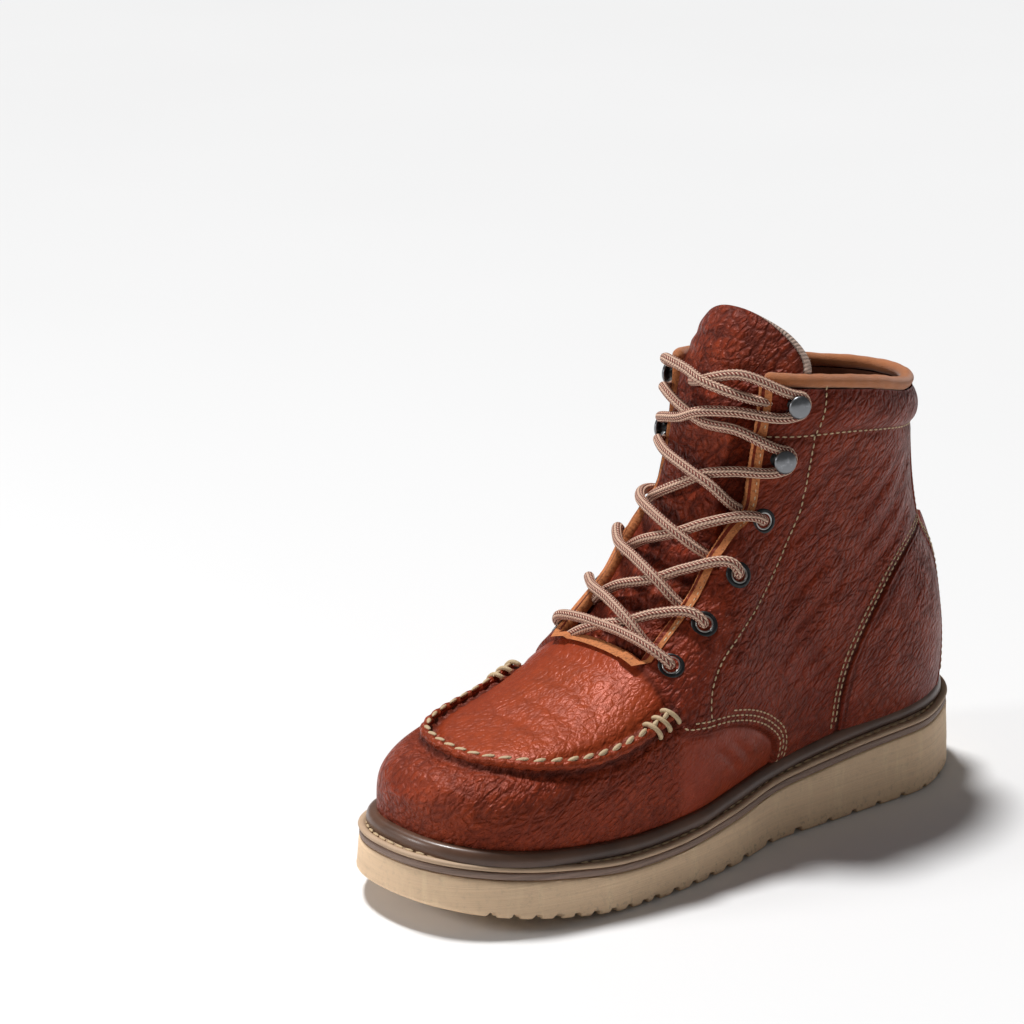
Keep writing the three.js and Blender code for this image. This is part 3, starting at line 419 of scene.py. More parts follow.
def leather_relief(points, normals):
    """Height of the upper's finished outside over its form, and what its colour follows."""
    x, y, z = points[..., 0], points[..., 1], points[..., 2]
    side = np.where(y > bend(x), 1.0, -1.0)
    height = np.zeros(x.shape)
    tone = np.full(x.shape, 0.35)
    # Darkening along the seams: partly their own dark joints, partly painted shade in the grooves beside
    # ridges and under overlay edges.
    seam_dark_and_shade = np.zeros(x.shape)

    moc, moc_along = seam_distance(points, normals, SEAMS["moc", 0])
    near_moc = bump(np.maximum(45 - x, 0), 6.0)
    plug = smoothstep(-0.5, 0.5, moc) * smoothstep(40, 47, x)
    lip = 2.3 * bump(moc, 1.5) - 0.9 * bump(np.abs(moc) - 4.2, 2.0)
    pucker = 0.35 * np.cos(2 * math.pi * moc_along / 7.0) * bump(np.abs(moc) - 3.4, 1.6)
    height += (lip + pucker) * near_moc
    # Painted shade in the troughs on both sides of the toe's ridge.
    seam_dark_and_shade += near_moc * bump(np.abs(moc) - 2.6, 1.3)

    quarter = np.zeros(x.shape)
    for way in (1, -1):
        here = (side == way) & (x < 70)
        distance, _ = seam_distance(points[here], normals[here], SEAMS["wing", way], way)
        step = smoothstep(-0.5, 0.35, distance)
        quarter[here] = step
        height[here] += 1.5 * step - 0.5 * bump(distance + 1.3, 0.9)
        # Painted shade in the groove under the overlay's edge.
        seam_dark_and_shade[here] += 0.9 * bump(distance + 0.6, 1.0)
        for row in (2.2, 4.4, 6.6):
            height[here] -= 0.28 * bump(distance - row, 0.7) * (x[here] < 42) * (z[here] < 68)
    for way in (1, -1):
        here = side == way
        distance, _ = seam_distance(points[here], normals[here], SEAMS["counter", way], way)
        height[here] -= 0.9 * bump(np.abs(distance) - 0.7, 1.2)
        # Painted shade in the groove of the counter's seam.
        seam_dark_and_shade[here] += 1.5 * bump(np.abs(distance) - 0.6, 1.3)
        for name, deep, width in (("eyestay", 0.4, 1.1), ("collar", 0.9, 2.0)):
            distance, _ = seam_distance(points[here], normals[here], SEAMS[name, way], way)
            height[here] -= deep * bump(distance, width)
            # Painted shade in the grooves of the eyestay and collar seams.
            seam_dark_and_shade[here] += 0.45 * bump(distance, 1.2)

    collar_line = 160 + 11 * smoothstep(-130, -25, x)
    pad = np.clip((z - collar_line) / (rim(x) - collar_line), 0, 1)
    padded = np.sin(math.pi * np.minimum(pad * 1.05, 1)) ** 0.7
    height += COLLAR_PAD * padded * smoothstep(10, 40, np.abs(x + 20))
    height += crease_depth(points, normals)
    height += 0.5 * np.sin(x / 13.0 + y / 17.0) * np.sin(z / 15.0 - y / 19.0) * smoothstep(30, 60, z)

    apron = (1 - plug) * (1 - quarter) * smoothstep(30, 60, x)
    tone += 0.45 * apron * smoothstep(-60, 20, y) + 0.12 * plug
    tone -= 0.25 * pad
    grain = 0.55 * quarter + 0.5 * plug + 0.12 * apron
    return height, tone, seam_dark_and_shade, grain


# Meshes
def deselect():
    if bpy.context.object and bpy.context.object.mode != "OBJECT":
        bpy.ops.object.mode_set(mode="OBJECT")
    bpy.ops.object.select_all(action="DESELECT")


def grid_piece(name, across, along, place, merge=0.0):
    """A grid of the given numbers of faces, shaped by place(u, v), in millimetres."""
    deselect()
    bpy.ops.mesh.primitive_grid_add(x_subdivisions=across, y_subdivisions=along, size=2, calc_uvs=True)
    obj = bpy.context.object
    obj.name = name
    obj.data.name = name
    count = len(obj.data.vertices)
    co = np.zeros(count * 3)
    obj.data.vertices.foreach_get("co", co)
    co = co.reshape(-1, 3)
    u = (co[:, 0] + 1) / 2
    v = (co[:, 1] + 1) / 2
    placed = place(u, v)
    values = {}
    if isinstance(placed, tuple):
        placed, values = placed
    obj.data.vertices.foreach_set("co", (placed * MM).ravel())
    obj.data.update()
    for key, value in values.items():
        add_values(obj, key, value)
    if merge:
        merge_doubles(obj, merge)
    return obj


def merge_doubles(obj, distance):
    edit(obj)
    bpy.ops.mesh.select_all(action="SELECT")
    bpy.ops.mesh.remove_doubles(threshold=distance * MM)
    bpy.ops.object.mode_set(mode="OBJECT")


def edit(obj):
    deselect()
    bpy.context.view_layer.objects.active = obj
    obj.select_set(True)
    bpy.ops.object.mode_set(mode="EDIT")


def outward(obj):
    edit(obj)
    bpy.ops.mesh.select_all(action="SELECT")
    bpy.ops.mesh.normals_make_consistent(inside=False)
    bpy.ops.object.mode_set(mode="OBJECT")


def join(objects, name):
    deselect()
    for obj in objects:
        obj.select_set(True)
    bpy.context.view_layer.objects.active = objects[0]
    bpy.ops.object.join()
    objects[0].name = name
    objects[0].data.name = name
    return objects[0]


def finish(obj, node, slot, angle=60):
    """Smooth shading, name, material slot, body and the solids that the piece stands for."""
    obj.name = "boot_" + obj.name.split(".")[0]
    deselect()
    obj.select_set(True)
    bpy.context.view_layer.objects.active = obj
    bpy.ops.object.shade_smooth_by_angle(angle=math.radians(angle))
    for modifier in list(obj.modifiers):
        bpy.ops.object.modifier_apply(modifier=modifier.name)
    obj.data.materials.clear()
    obj.data.materials.append(material(slot))
    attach(obj, "root")
    if node:
        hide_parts(*([node] if isinstance(node, str) else node))
    return obj


def add_values(obj, name, values):
    layer = obj.data.attributes.new(name, "FLOAT", "POINT")
    layer.data.foreach_set("value", np.asarray(values, np.float32))


def delete_faces(obj, chosen):
    """Delete the faces whose middles are chosen, by a function of their points."""
    centres = np.zeros(len(obj.data.polygons) * 3)
    obj.data.polygons.foreach_get("center", centres)
    picked = chosen(centres.reshape(-1, 3) / MM)
    edit(obj)
    bpy.ops.mesh.select_mode(type="FACE")
    bpy.ops.mesh.select_all(action="DESELECT")
    bpy.ops.object.mode_set(mode="OBJECT")
    obj.data.polygons.foreach_set("select", picked)
    bpy.ops.object.mode_set(mode="EDIT")
    bpy.ops.mesh.delete(type="FACE")
    bpy.ops.mesh.select_mode(type="VERT")
    bpy.ops.object.mode_set(mode="OBJECT")


# Sections of the upper, from the toe back and then up the shaft
TOE_TIP = LENGTH / 2 - WELT_SHOW
PIVOT = np.array((from_share(0.617), 0.0, BOOT_HEIGHT * 0.825))
TURN_REACH = 96.0
TOE_PART = 0.34
TURN_PART = 0.90
THROAT_FRONT = from_share(0.640)


def section(v):
    """Middle, up direction and stretch of each section, and how far it is up the collar."""
    toe = np.clip(v / TOE_PART, 0, 1)
    reach = TOE_TIP - PIVOT[0]
    x = TOE_TIP - 0.12 - reach * (0.55 * toe**2.2 + 0.45 * toe) * (1 - 0.12 / reach)
    x = np.maximum(x, PIVOT[0])
    turn = np.clip((v - TOE_PART) / (TURN_PART - TOE_PART), 0, 1) * math.pi / 2
    collar = np.clip((v - TURN_PART) / (1 - TURN_PART), 0, 1)
    arm = TURN_REACH + 8 * np.sin(turn)
    in_foot = v < TOE_PART
    mx = np.where(in_foot, x, PIVOT[0] - np.sin(turn) * arm)
    mz = np.where(in_foot, (welt_top(x) + crown(x)) / 2, PIVOT[2] - np.cos(turn) * arm)
    blend = smoothstep(0.0, 1.0, toe)
    mz = np.where(in_foot, mz * (1 - blend) + blend * (PIVOT[2] - TURN_REACH), mz)
    my = np.where(in_foot, bend(x), 0.0)
    middle = np.stack([mx, my, mz], -1)
    stretch = np.where(in_foot, 0.6 + 0.4 * toe, 1 + 0.5 * np.sin(turn) + 0.6 * np.sin(2 * turn))
    return middle, turn, stretch, collar


def ring_points(angle, v):
    """Points of the form at an angle about each section, 0 at the ridge."""
    middle, turn, stretch, collar = section(v)
    up = np.stack([np.sin(turn), np.zeros_like(turn), np.cos(turn)], -1)
    way = up * (stretch * np.cos(angle))[:, None]
    way[:, 1] += np.sin(angle)
    points = cast(middle, way)
    for _ in range(4):
        level = collar > 0
        if not level.any():
            break
        base = PIVOT[2]
        middle[level, 2] = base + (rim(points[level, 0]) - base) * collar[level]
        points[level] = cast(middle[level], way[level])
    return points


def throat_half(z):
    table = {"at": [h * BOOT_HEIGHT for h in THROAT["height"]], "half": THROAT["half"]}
    return THROAT_HALF * smooth(table, "half", z)


def throat_angles(v):
    """Angle at which each section meets the throat's edge."""
    front = section_at_x(THROAT_FRONT)
    held = np.maximum(v, front)
    low = np.zeros_like(held)
    high = np.full_like(held, math.pi / 2)
    for _ in range(16):
        middle = (low + high) / 2
        points = ring_points(middle, held)
        inside = points[:, 1] < throat_half(points[:, 2])
        low = np.where(inside, middle, low)
        high = np.where(inside, high, middle)
    return (low + high) / 2


def section_at_x(x):
    places = np.linspace(0.0, TOE_PART, 400)
    middle = section(places)[0][:, 0]
    return float(np.interp(-x, -middle, places))


# Upper
FRONT_ROWS = 92
ROWS = 268
AROUND = 300
TOP_ACROSS = 56
RAND_HEIGHT = 5.5
RAND_WIDTH = 4.6
OVERLAY = 1.4
STRIP = {"at": (36, 50, 84, 116, 150, 196), "half": (32.3, 27.2, 20.1, 17.0, 16.0, 17.0)}


def row_place(v, rows=ROWS, front_rows=FRONT_ROWS):
    """Section for a share of the rows, so that one row meets the throat's front exactly."""
    share = front_rows / rows
    front = section_at_x(THROAT_FRONT)
    behind = front + (v - share) / (1 - share) * (1 - front)
    return np.where(v <= share + 1e-6, v / share * front, behind)


def closed_tip(points, angle, place):
    """The first ring folds shut at the toe's tip."""
    tip = place < 1e-6
    if tip.any():
        folded = np.abs((angle[tip] + math.pi) % (2 * math.pi) - math.pi)
        points[tip] = ring_points(folded, place[tip])
        points[tip, 0] = TOE_TIP
        points[tip, 1] = bend(TOE_TIP)
    return points


def dressed(points):
    normals = normals_at(points)
    height, tone, seam, grain = leather_relief(points, normals)
    values = {"tone": tone, "seam": seam, "grain": grain}
    return points + normals * height[:, None], values


def upper_sides(u, v):
    place = row_place(v)
    places, where = np.unique(np.round(place, 9), return_inverse=True)
    edge = throat_angles(places)[where]
    angle = edge + u * (2 * math.pi - 2 * edge)
    return dressed(closed_tip(ring_points(angle, place), angle, place))


def upper_top(u, v):
    place = v * section_at_x(THROAT_FRONT)
    places, where = np.unique(np.round(place, 9), return_inverse=True)
    edge = throat_angles(places)[where]
    angle = (2 * u - 1) * edge
    return dressed(closed_tip(ring_points(angle, place), angle, place))


def face_outward(obj):
    """Turn a sheet on the upper so that its faces look away from the form."""
    count = len(obj.data.polygons)
    centres = np.zeros(count * 3)
    ways = np.zeros(count * 3)
    obj.data.polygons.foreach_get("center", centres)
    obj.data.polygons.foreach_get("normal", ways)
    outside = normals_at(centres.reshape(-1, 3) / MM)
    if (outside * ways.reshape(-1, 3)).sum() < 0:
        edit(obj)
        bpy.ops.mesh.select_all(action="SELECT")
        bpy.ops.mesh.flip_normals()
        bpy.ops.object.mode_set(mode="OBJECT")


def make_upper():
    sides = grid_piece("upper", AROUND, ROWS, upper_sides)
    top = grid_piece("upper_top", TOP_ACROSS, FRONT_ROWS, upper_top)
    upper = join([sides, top], "upper")
    merge_doubles(upper, 0.05)
    delete_faces(upper, lambda middle: middle[:, 2] < welt_top(middle[:, 0]) - 1)
    face_outward(upper)
    finish(upper, "upper", "leather")
    return upper


def lining_sides(u, v):
    place = row_place(v, 110, 38)
    places, where = np.unique(np.round(place, 9), return_inverse=True)
    edge = throat_angles(places)[where]
    angle = edge + u * (2 * math.pi - 2 * edge)
    points = closed_tip(ring_points(angle, place), angle, place)
    return points - normals_at(points) * WALL


def lining_top(u, v):
    place = v * section_at_x(THROAT_FRONT)
    places, where = np.unique(np.round(place, 9), return_inverse=True)
    edge = throat_angles(places)[where]
    angle = (2 * u - 1) * edge
    points = closed_tip(ring_points(angle, place), angle, place)
    return points - normals_at(points) * WALL


def make_lining():
    sides = grid_piece("upper_lining", 110, 110, lining_sides)
    top = grid_piece("lining_top", 20, 38, lining_top)
    lining = join([sides, top], "upper_lining")
    merge_doubles(lining, 0.05)
    delete_faces(lining, lambda middle: middle[:, 2] < welt_top(middle[:, 0]) - 2)
    face_outward(lining)
    edit(lining)
    bpy.ops.mesh.select_all(action="SELECT")
    bpy.ops.mesh.flip_normals()
    bpy.ops.object.mode_set(mode="OBJECT")
    finish(lining, None, "lining")


def throat_path(s):
    """Along the throat's edge: down the outer facing, across its front, up the inner one."""
    front = section_at_x(THROAT_FRONT)
    outer = s < 0.44
    inner = s > 0.56
    across = ~outer & ~inner
    place = np.where(outer, 1 - s / 0.44 * (1 - front), front)
    place = np.where(inner, front + (s - 0.56) / 0.44 * (1 - front), place)
    edge = throat_angles(place)
    turn = np.where(across, 1 - 2 * (s - 0.44) / 0.12, np.where(inner, -1.0, 1.0))
    return ring_points(edge * turn, place)


def make_facing_edge():
    """The raw cut edge of the leather all along the throat."""
    count = 420
    s = np.linspace(0, 1, count + 1)
    path = throat_path(s)
    normals = normals_at(path)
    tangents = np.gradient(path, axis=0)
    tangents /= np.linalg.norm(tangents, axis=1, keepdims=True)
    into = np.cross(tangents, normals)
    into *= np.sign((into * ((path * (1, 0, 1)) - path)).sum(1, keepdims=True) + 1e-6)
    into[(s > 0.44) & (s < 0.56)] = (-1, 0, 0.3)
    height = leather_relief(path, normals)[0]

    fray = 0.12 * np.sin(s * 700) + 0.1 * np.sin(s * 1130 + 1)

    def place(u, v):
        i = np.rint(v * count).astype(int)
        angle = (u - 0.22) * math.pi / 0.78
        up = np.where(angle < 0, 0.22, 0.5 * np.cos(angle) * (WALL + 0.5) - 0.5 * WALL) + height[i] * (1 - u)
        out = np.where(angle < 0, 5.0 * angle, (0.9 + fray[i]) * np.sin(np.maximum(angle, 0)) ** 0.7)
        return path[i] + normals[i] * up[:, None] + into[i] * out[:, None]

    edge = grid_piece("facing_edge", 14, count, place)
    finish(edge, None, "raw_edge")


def strip_point(y, z):
    """The form seen from behind."""
    y = np.asarray(y, float)
    z = np.asarray(z, float)
    start = np.stack([np.full(y.shape, -92.0), y, z], -1)
    return cast(start, np.tile((-1.0, 0.0, 0.0), (*y.shape, 1)))


def overlay_height(distance):
    return OVERLAY * (1.25 * smoothstep(-0.2, 0.9, distance) - 0.25) + 0.1


def make_counter(side):
    """Heel counter on one side, from its curved front edge back under the strip."""
    name = "counter_outer" if side > 0 else "counter_inner"
    count = 130
    front = SEAMS["counter", side]
    front_curve = curve_through(front, count + 1)
    t = np.linspace(0, 1, count + 1)
    z = 113 - (113 - 31) * t
    back_curve = strip_point(side * (smooth(STRIP, "half", z) - 2.5), z)

    def place(u, v):
        i = np.rint(v * count).astype(int)
        s = 0.45 * u + 0.55 * u * u * (3 - 2 * u)
        points = onto_form(back_curve[i] * (1 - s)[:, None] + front_curve[i] * s[:, None])
        normals = normals_at(points)
        distance = np.abs(seam_distance(points, normals, front[::2])[0])
        height = overlay_height(distance) + 0.4 * crease_depth(points, normals)
        for row in (2.6, 4.9):
            height -= 0.25 * bump(distance - row, 0.8)
        # The seam value darkens the band of the two stitch rows, with painted shade in their grooves.
        seam = 0.8 * bump(distance - 3.6, 2.2)
        tone = 0.3 + 0.1 * np.sin(points[:, 2] / 9)
        values = {"tone": tone, "seam": seam, "grain": np.full(len(u), 0.35)}
        return points + normals * height[:, None], values

    counter = grid_piece(name, 110, count, place)
    face_outward(counter)
    finish(counter, name, "leather")


def make_back_strip():
    """Strip up the back of the heel to the collar."""

    def place(u, v):
        z = 30 + (rim(-130.0) - 29) * v
        half = smooth(STRIP, "half", z)
        s = 2 * u - 1
        points = strip_point(half * s * (1.2 - 0.2 * s * s), z)
        normals = normals_at(points)
        distance = half * (1 - np.abs(s * (1.2 - 0.2 * s * s)))
        height = overlay_height(distance) + OVERLAY * 0.35
        for row in (2.6, 4.9):
            height -= 0.25 * bump(distance - row, 0.8)
        pad = np.clip((z - 160) / (rim(-130.0) - 160), 0, 1)
        height += 2.4 * np.sin(math.pi * pad) ** 0.7
        height -= 0.8 * bump(z - 160, 1.8)
        values = {
            "tone": np.full(len(u), 0.28),
            # The seam value darkens the band of the two stitch rows, with painted shade in their grooves, and
            # paints shade in the groove under the collar's pad.
            "seam": 0.8 * bump(distance - 3.6, 2.2) + 0.6 * bump(z - 160, 1.6),
            "grain": np.full(len(u), 0.4),
        }
        return points + normals * height[:, None], values

    strip = grid_piece("back_strip", 70, 180, place)
    face_outward(strip)
    finish(strip, "back_strip", "leather")


# Tubes, rings and stitches
def frames_along(path):
    """Tangents and two cross directions that turn as little as they can."""
    tangents = np.gradient(path, axis=0)
    tangents /= np.linalg.norm(tangents, axis=1, keepdims=True)
    sides = np.zeros_like(path)
    start = np.cross(tangents[0], (0.13, 0.2, 1.0))
    sides[0] = start / np.linalg.norm(start)
    for i in range(1, len(path)):
        side = sides[i - 1] - tangents[i] * (sides[i - 1] @ tangents[i])
        sides[i] = side / np.linalg.norm(side)
    return tangents, sides, np.cross(tangents, sides)


def tube(name, path, radius, around=14, ends=True, ripple=None):
    """A cord along points, with rounded ends and its own map in cord widths."""
    path = np.asarray(path, float)
    count = len(path) - 1
    tangents, sides, ups = frames_along(path)
    arc = np.concatenate([[0], np.cumsum(np.linalg.norm(np.diff(path, axis=0), axis=1))])
    radii = np.full(len(path), float(radius))
    if ends:
        near = np.minimum(arc, arc[-1] - arc)
        radii *= np.sqrt(np.clip(1 - (1 - np.clip(near / radius, 0, 1)) ** 2, 0.0004, 1))
    if ripple is not None:
        radii *= ripple(arc)

    def place(u, v):
        i = np.rint(v * count).astype(int)
        angle = 2 * math.pi * u
        across = sides[i] * np.cos(angle)[:, None] + ups[i] * np.sin(angle)[:, None]
        return path[i] + across * radii[i][:, None]

    made = grid_piece(name, around, count, place)
    merge_doubles(made, 0.004)
    outward(made)
    stretch_map(made, 1.0, arc[-1] / (2 * math.pi * radius))
    return made


def stretch_map(obj, across, along):
    layer = obj.data.uv_layers.active.data
    count = len(layer)
    uv = np.zeros(count * 2)
    layer.foreach_get("uv", uv)
    uv = uv.reshape(-1, 2) * (across, along)
    layer.foreach_set("uv", uv.ravel())


def lathe(name, profile, steps, frame_of):
    """A turned piece from points of radius and height, set on its place and direction."""
    profile = np.asarray(profile, float)
    count = len(profile) - 1
    origin, out, side, up = frame_of

    def place(u, v):
        i = np.rint(v * count).astype(int)
        angle = 2 * math.pi * u
        r = profile[i, 0]
        across = side * (np.cos(angle) * r)[:, None] + up * (np.sin(angle) * r)[:, None]
        return origin + across + out * profile[i, 1][:, None]

    made = grid_piece(name, steps, count, place)
    merge_doubles(made, 0.01)
    outward(made)
    return made


def rounded(profile, steps=4):
    """A profile with its corners cut by a quadratic curve."""
    profile = np.asarray(profile, float)
    out = [profile[0]]
    for a, b, c in zip(profile[:-2], profile[1:-1], profile[2:]):
        start = b + (a - b) * 0.38
        end = b + (c - b) * 0.38
        for k in range(steps + 1):
            t = k / steps
            out.append(start * (1 - t) ** 2 + 2 * b * t * (1 - t) + end * t * t)
    out.append(profile[-1])
    return np.array(out)


def stitch_places(path, pitch):
    arc = np.concatenate([[0], np.cumsum(np.linalg.norm(np.diff(path, axis=0), axis=1))])
    wanted = np.arange(pitch * 0.6, arc[-1] - pitch * 0.3, pitch)
    middle = np.stack([np.interp(wanted, arc, path[:, k]) for k in range(3)], -1)
    ahead = np.stack([np.interp(wanted + 0.5, arc, path[:, k]) for k in range(3)], -1)
    behind = np.stack([np.interp(wanted - 0.5, arc, path[:, k]) for k in range(3)], -1)
    tangent = ahead - behind
    return middle, tangent / np.linalg.norm(tangent, axis=1, keepdims=True)


def sew(name, rows, length, radius, slant=0.0, sides=6):
    """One stitch, modelled once and copied along rows of (places, tangents, normals)."""
    deselect()
    bpy.ops.mesh.primitive_uv_sphere_add(segments=sides, ring_count=5, radius=1)
    template = bpy.context.object
    template.name = name
    copies = []
    for places, tangents, normals in rows:
        for place, tangent, normal in zip(places, tangents, normals):
            across = np.cross(normal, tangent)
            way = tangent + across * slant
            way /= np.linalg.norm(way)
            across = np.cross(normal, way)
            axes = np.stack([across * radius, normal * radius * 0.75, way * length / 2], 1)
            mesh = template.data.copy()
            co = np.zeros(len(mesh.vertices) * 3)
            mesh.vertices.foreach_get("co", co)
            moved = (co.reshape(-1, 3) @ axes.T + place) * MM
            mesh.vertices.foreach_set("co", moved.ravel())
            copy = bpy.data.objects.new(name, mesh)
            bpy.context.collection.objects.link(copy)
            copies.append(copy)
    bpy.data.objects.remove(template)
    joined = join(copies, name)
    outward(joined)
    return joined


def surface_row(path, pitch, lift, overlay=0.0):
    """Stitch places on the leather's finished surface."""
    places, tangents = stitch_places(onto_form(path), pitch)
    places = onto_form(places)
    normals = normals_at(places)
    height = leather_relief(places, normals)[0] + overlay
    return places + normals * (height + lift)[:, None], tangents, normals


def beside(path, distance):
    """A seam moved along the surface to its left, seen from outside."""
    path = onto_form(path)
    normals = normals_at(path)
    tangents = np.gradient(path, axis=0)
    tangents /= np.linalg.norm(tangents, axis=1, keepdims=True)
    return onto_form(path + np.cross(normals, tangents) * distance)


def make_stitching():
    """All the thin seams of the upper, in one piece of thread."""
    thread = bpy.context.scene.boot_sizes.thread / MM / 2
    rows = []
    for side in (1, -1):
        for distance in (2.2, 4.4, 6.6):
            line = beside(SEAMS["wing", side], distance * side)
            line = line[(line[:, 0] < 41) & (line[:, 2] < 67) & (line[:, 2] > welt_top(line[:, 0]) + 4)]
            rows.append(surface_row(line, 3.0, 0.1))
        rows.append(surface_row(SEAMS["eyestay", side], 3.1, 0.12))
        rows.append(surface_row(SEAMS["collar", side][6:], 3.3, 0.1))
        for distance in (2.6, 4.9):
            line = beside(SEAMS["counter", side], -distance * side)
            line = line[line[:, 2] > welt_top(line[:, 0]) + 6]
            places, tangents = stitch_places(line, 3.0)
            places = onto_form(places)
            normals = normals_at(places)
            lift = 0.4 * crease_depth(places, normals) + OVERLAY + 0.1
            rows.append((places + normals * lift[:, None], tangents, normals))
        for distance in (2.6, 4.9):
            z = np.linspace(44, 172, 90)
            line = strip_point(side * (smooth(STRIP, "half", z) - distance), z)
            places, tangents = stitch_places(line, 3.0)
            normals = normals_at(places)
            pad = np.clip((places[:, 2] - 160) / (rim(-130.0) - 160), 0, 1)
            swell = 2.4 * np.sin(math.pi * pad) ** 0.7 - 0.8 * bump(places[:, 2] - 160, 1.8)
            lift = OVERLAY * 1.35 + 0.15 + swell
            rows.append((places + normals * lift[:, None], tangents, normals))
        s = np.linspace(0.02, 0.43, 140) if side > 0 else np.linspace(0.57, 0.98, 140)
        rows.append(surface_row(beside(throat_path(s), 3.2), 3.0, 0.1))
    y = np.linspace(-16, 16, 30)
    band = strip_point(y, np.full(30, 113.0))
    places, tangents = stitch_places(band, 3.0)
    normals = normals_at(places)
    rows.append((places + normals * (OVERLAY * 1.35 + 0.15), tangents, normals))
    stitching = sew("stitching", rows, 2.3, thread)
    finish(stitching, None, "thread", 80)


def make_moc_seam():
    """Gathered ridge around the toe's plug, its thick thread and the knots at its ends."""
    path = onto_form(curve_through(SEAMS["moc", 0], 330))
    normals = normals_at(path)
    ridge = tube("moc_seam", path + normals * 1.6, 1.75, 14,
                 ripple=lambda arc: 1 + 0.13 * np.cos(2 * math.pi * arc / 6.6))
    add_values(ridge, "tone", np.full(len(ridge.data.vertices), 0.62))
    add_values(ridge, "seam", np.zeros(len(ridge.data.vertices)))
    add_values(ridge, "grain", np.full(len(ridge.data.vertices), 0.3))
    finish(ridge, "moc_seam", "leather")
    outer = beside(path, -1.6)
    places, tangents = stitch_places(outer, 6.6)
    ways = normals_at(onto_form(places))
    rows = [(places + ways * 2.9, tangents, ways)]
    thread = sew("moc_thread", rows, 5.6, 1.05, 0.28, 8)
    loops = []
    for end, step in ((0, 1), (len(path) - 1, -1)):
        for k in range(3):
            i = end + step * (2 + 9 * k)
            way = normals[i]
            along = path[min(i + 3, len(path) - 1)] - path[max(i - 3, 0)]
            along /= np.linalg.norm(along)
            across = np.cross(way, along)
            angle = np.linspace(-0.2, math.pi + 0.2, 22)
            arch = path[i] + across * (np.cos(angle) * 4.0)[:, None] + way * (np.sin(angle) * 3.6)[:, None]
            arch += along * (np.linspace(-1.6, 1.6, 22))[:, None]
            loops.append(tube("moc_loop", arch, 1.0, 8))
    thread = join([thread, *loops], "moc_thread")
    finish(thread, None, "moc_thread", 80)


def make_binding():
    """Rolled suede binding along the collar's rim."""
    angle = np.radians(np.linspace(29, 331, 300))
    middle = from_share((smooth(SHAFT, "back", 0.94) + smooth(SHAFT, "front", 0.94)) / 2)
    way = np.stack([np.cos(angle), np.sin(angle), np.zeros_like(angle)], -1)
    points = np.tile((float(middle), 0.0, 175.0), (len(angle), 1))
    for _ in range(5):
        start = np.tile((float(middle), 0.0, 0.0), (len(angle), 1))
        start[:, 2] = rim(points[:, 0])
        points = cast(start, way)
    points = points[(np.abs(points[:, 1]) > THROAT_HALF) | (points[:, 0] < -60)]
    points += normals_at(points) * (0.6 - WALL / 2)
    points[:, 2] = rim(points[:, 0]) + GAP + BINDING / 2
    binding = tube("collar_binding", points, BINDING / 2 + 0.35, 22,
                   ripple=lambda arc: 1 + 0.03 * np.sin(arc / 3.1) + 0.02 * np.sin(arc / 1.3))
    finish(binding, "collar_binding", "suede")


# Sole
def around_sole(u):
    """Side and share of the length for a place around the sole, from the heel's outer side."""
    side = np.where(u < 0.5, 1.0, -1.0)
    turn = np.where(u < 0.5, 2 * u, 2 - 2 * u) * math.pi
    return side, (1 - np.cos(turn)) / 2


def sole_ring(u, inset, height):
    """Points of the sole's outline moved in by an inset, at heights given by x."""
    side, share = around_sole(u)
    x = -LENGTH / 2 + inset + (LENGTH - 2 * inset) * share
    y = sole_edge(side, x, inset)
    return np.stack([x, y, height(x)], -1)


def sole_layer(name, rows, around, relief=None):
    """A layer of the sole from rows of (inset, height by x), closed top and bottom."""
    count = len(rows) - 1

    def place(u, v):
        points = np.zeros((len(u), 3))
        level = np.rint(v * count).astype(int)
        for i, (inset, height) in enumerate(rows):
            here = level == i
            points[here] = sole_ring(u[here], inset, height)
        if relief:
            points = relief(points, u, v)
        return points

    made = grid_piece(name, around, count, place)
    merge_doubles(made, 0.01)
    edit(made)
    bpy.ops.mesh.select_all(action="DESELECT")
    bpy.ops.mesh.select_non_manifold()
    bpy.ops.mesh.edge_face_add()
    bpy.ops.object.mode_set(mode="OBJECT")
    outward(made)
    return made


def midsole_top(x):
    return welt_top(x) - WELT - GAP


def outsole_top(x):
    return midsole_top(x) - MIDSOLE - GAP


def notch_depth(x):
    """Depth of the tread's notches along the sole."""
    depth = np.zeros_like(x)
    for start, end, count, width, share in TREAD:
        for k in range(count):
            at = from_share(start + (end - start) * k / (count - 1))
            inside = smoothstep(width * 0.62, width * 0.36, np.abs(x - at))
            depth = np.maximum(depth, inside * TREAD_DEPTH * share)
    return depth


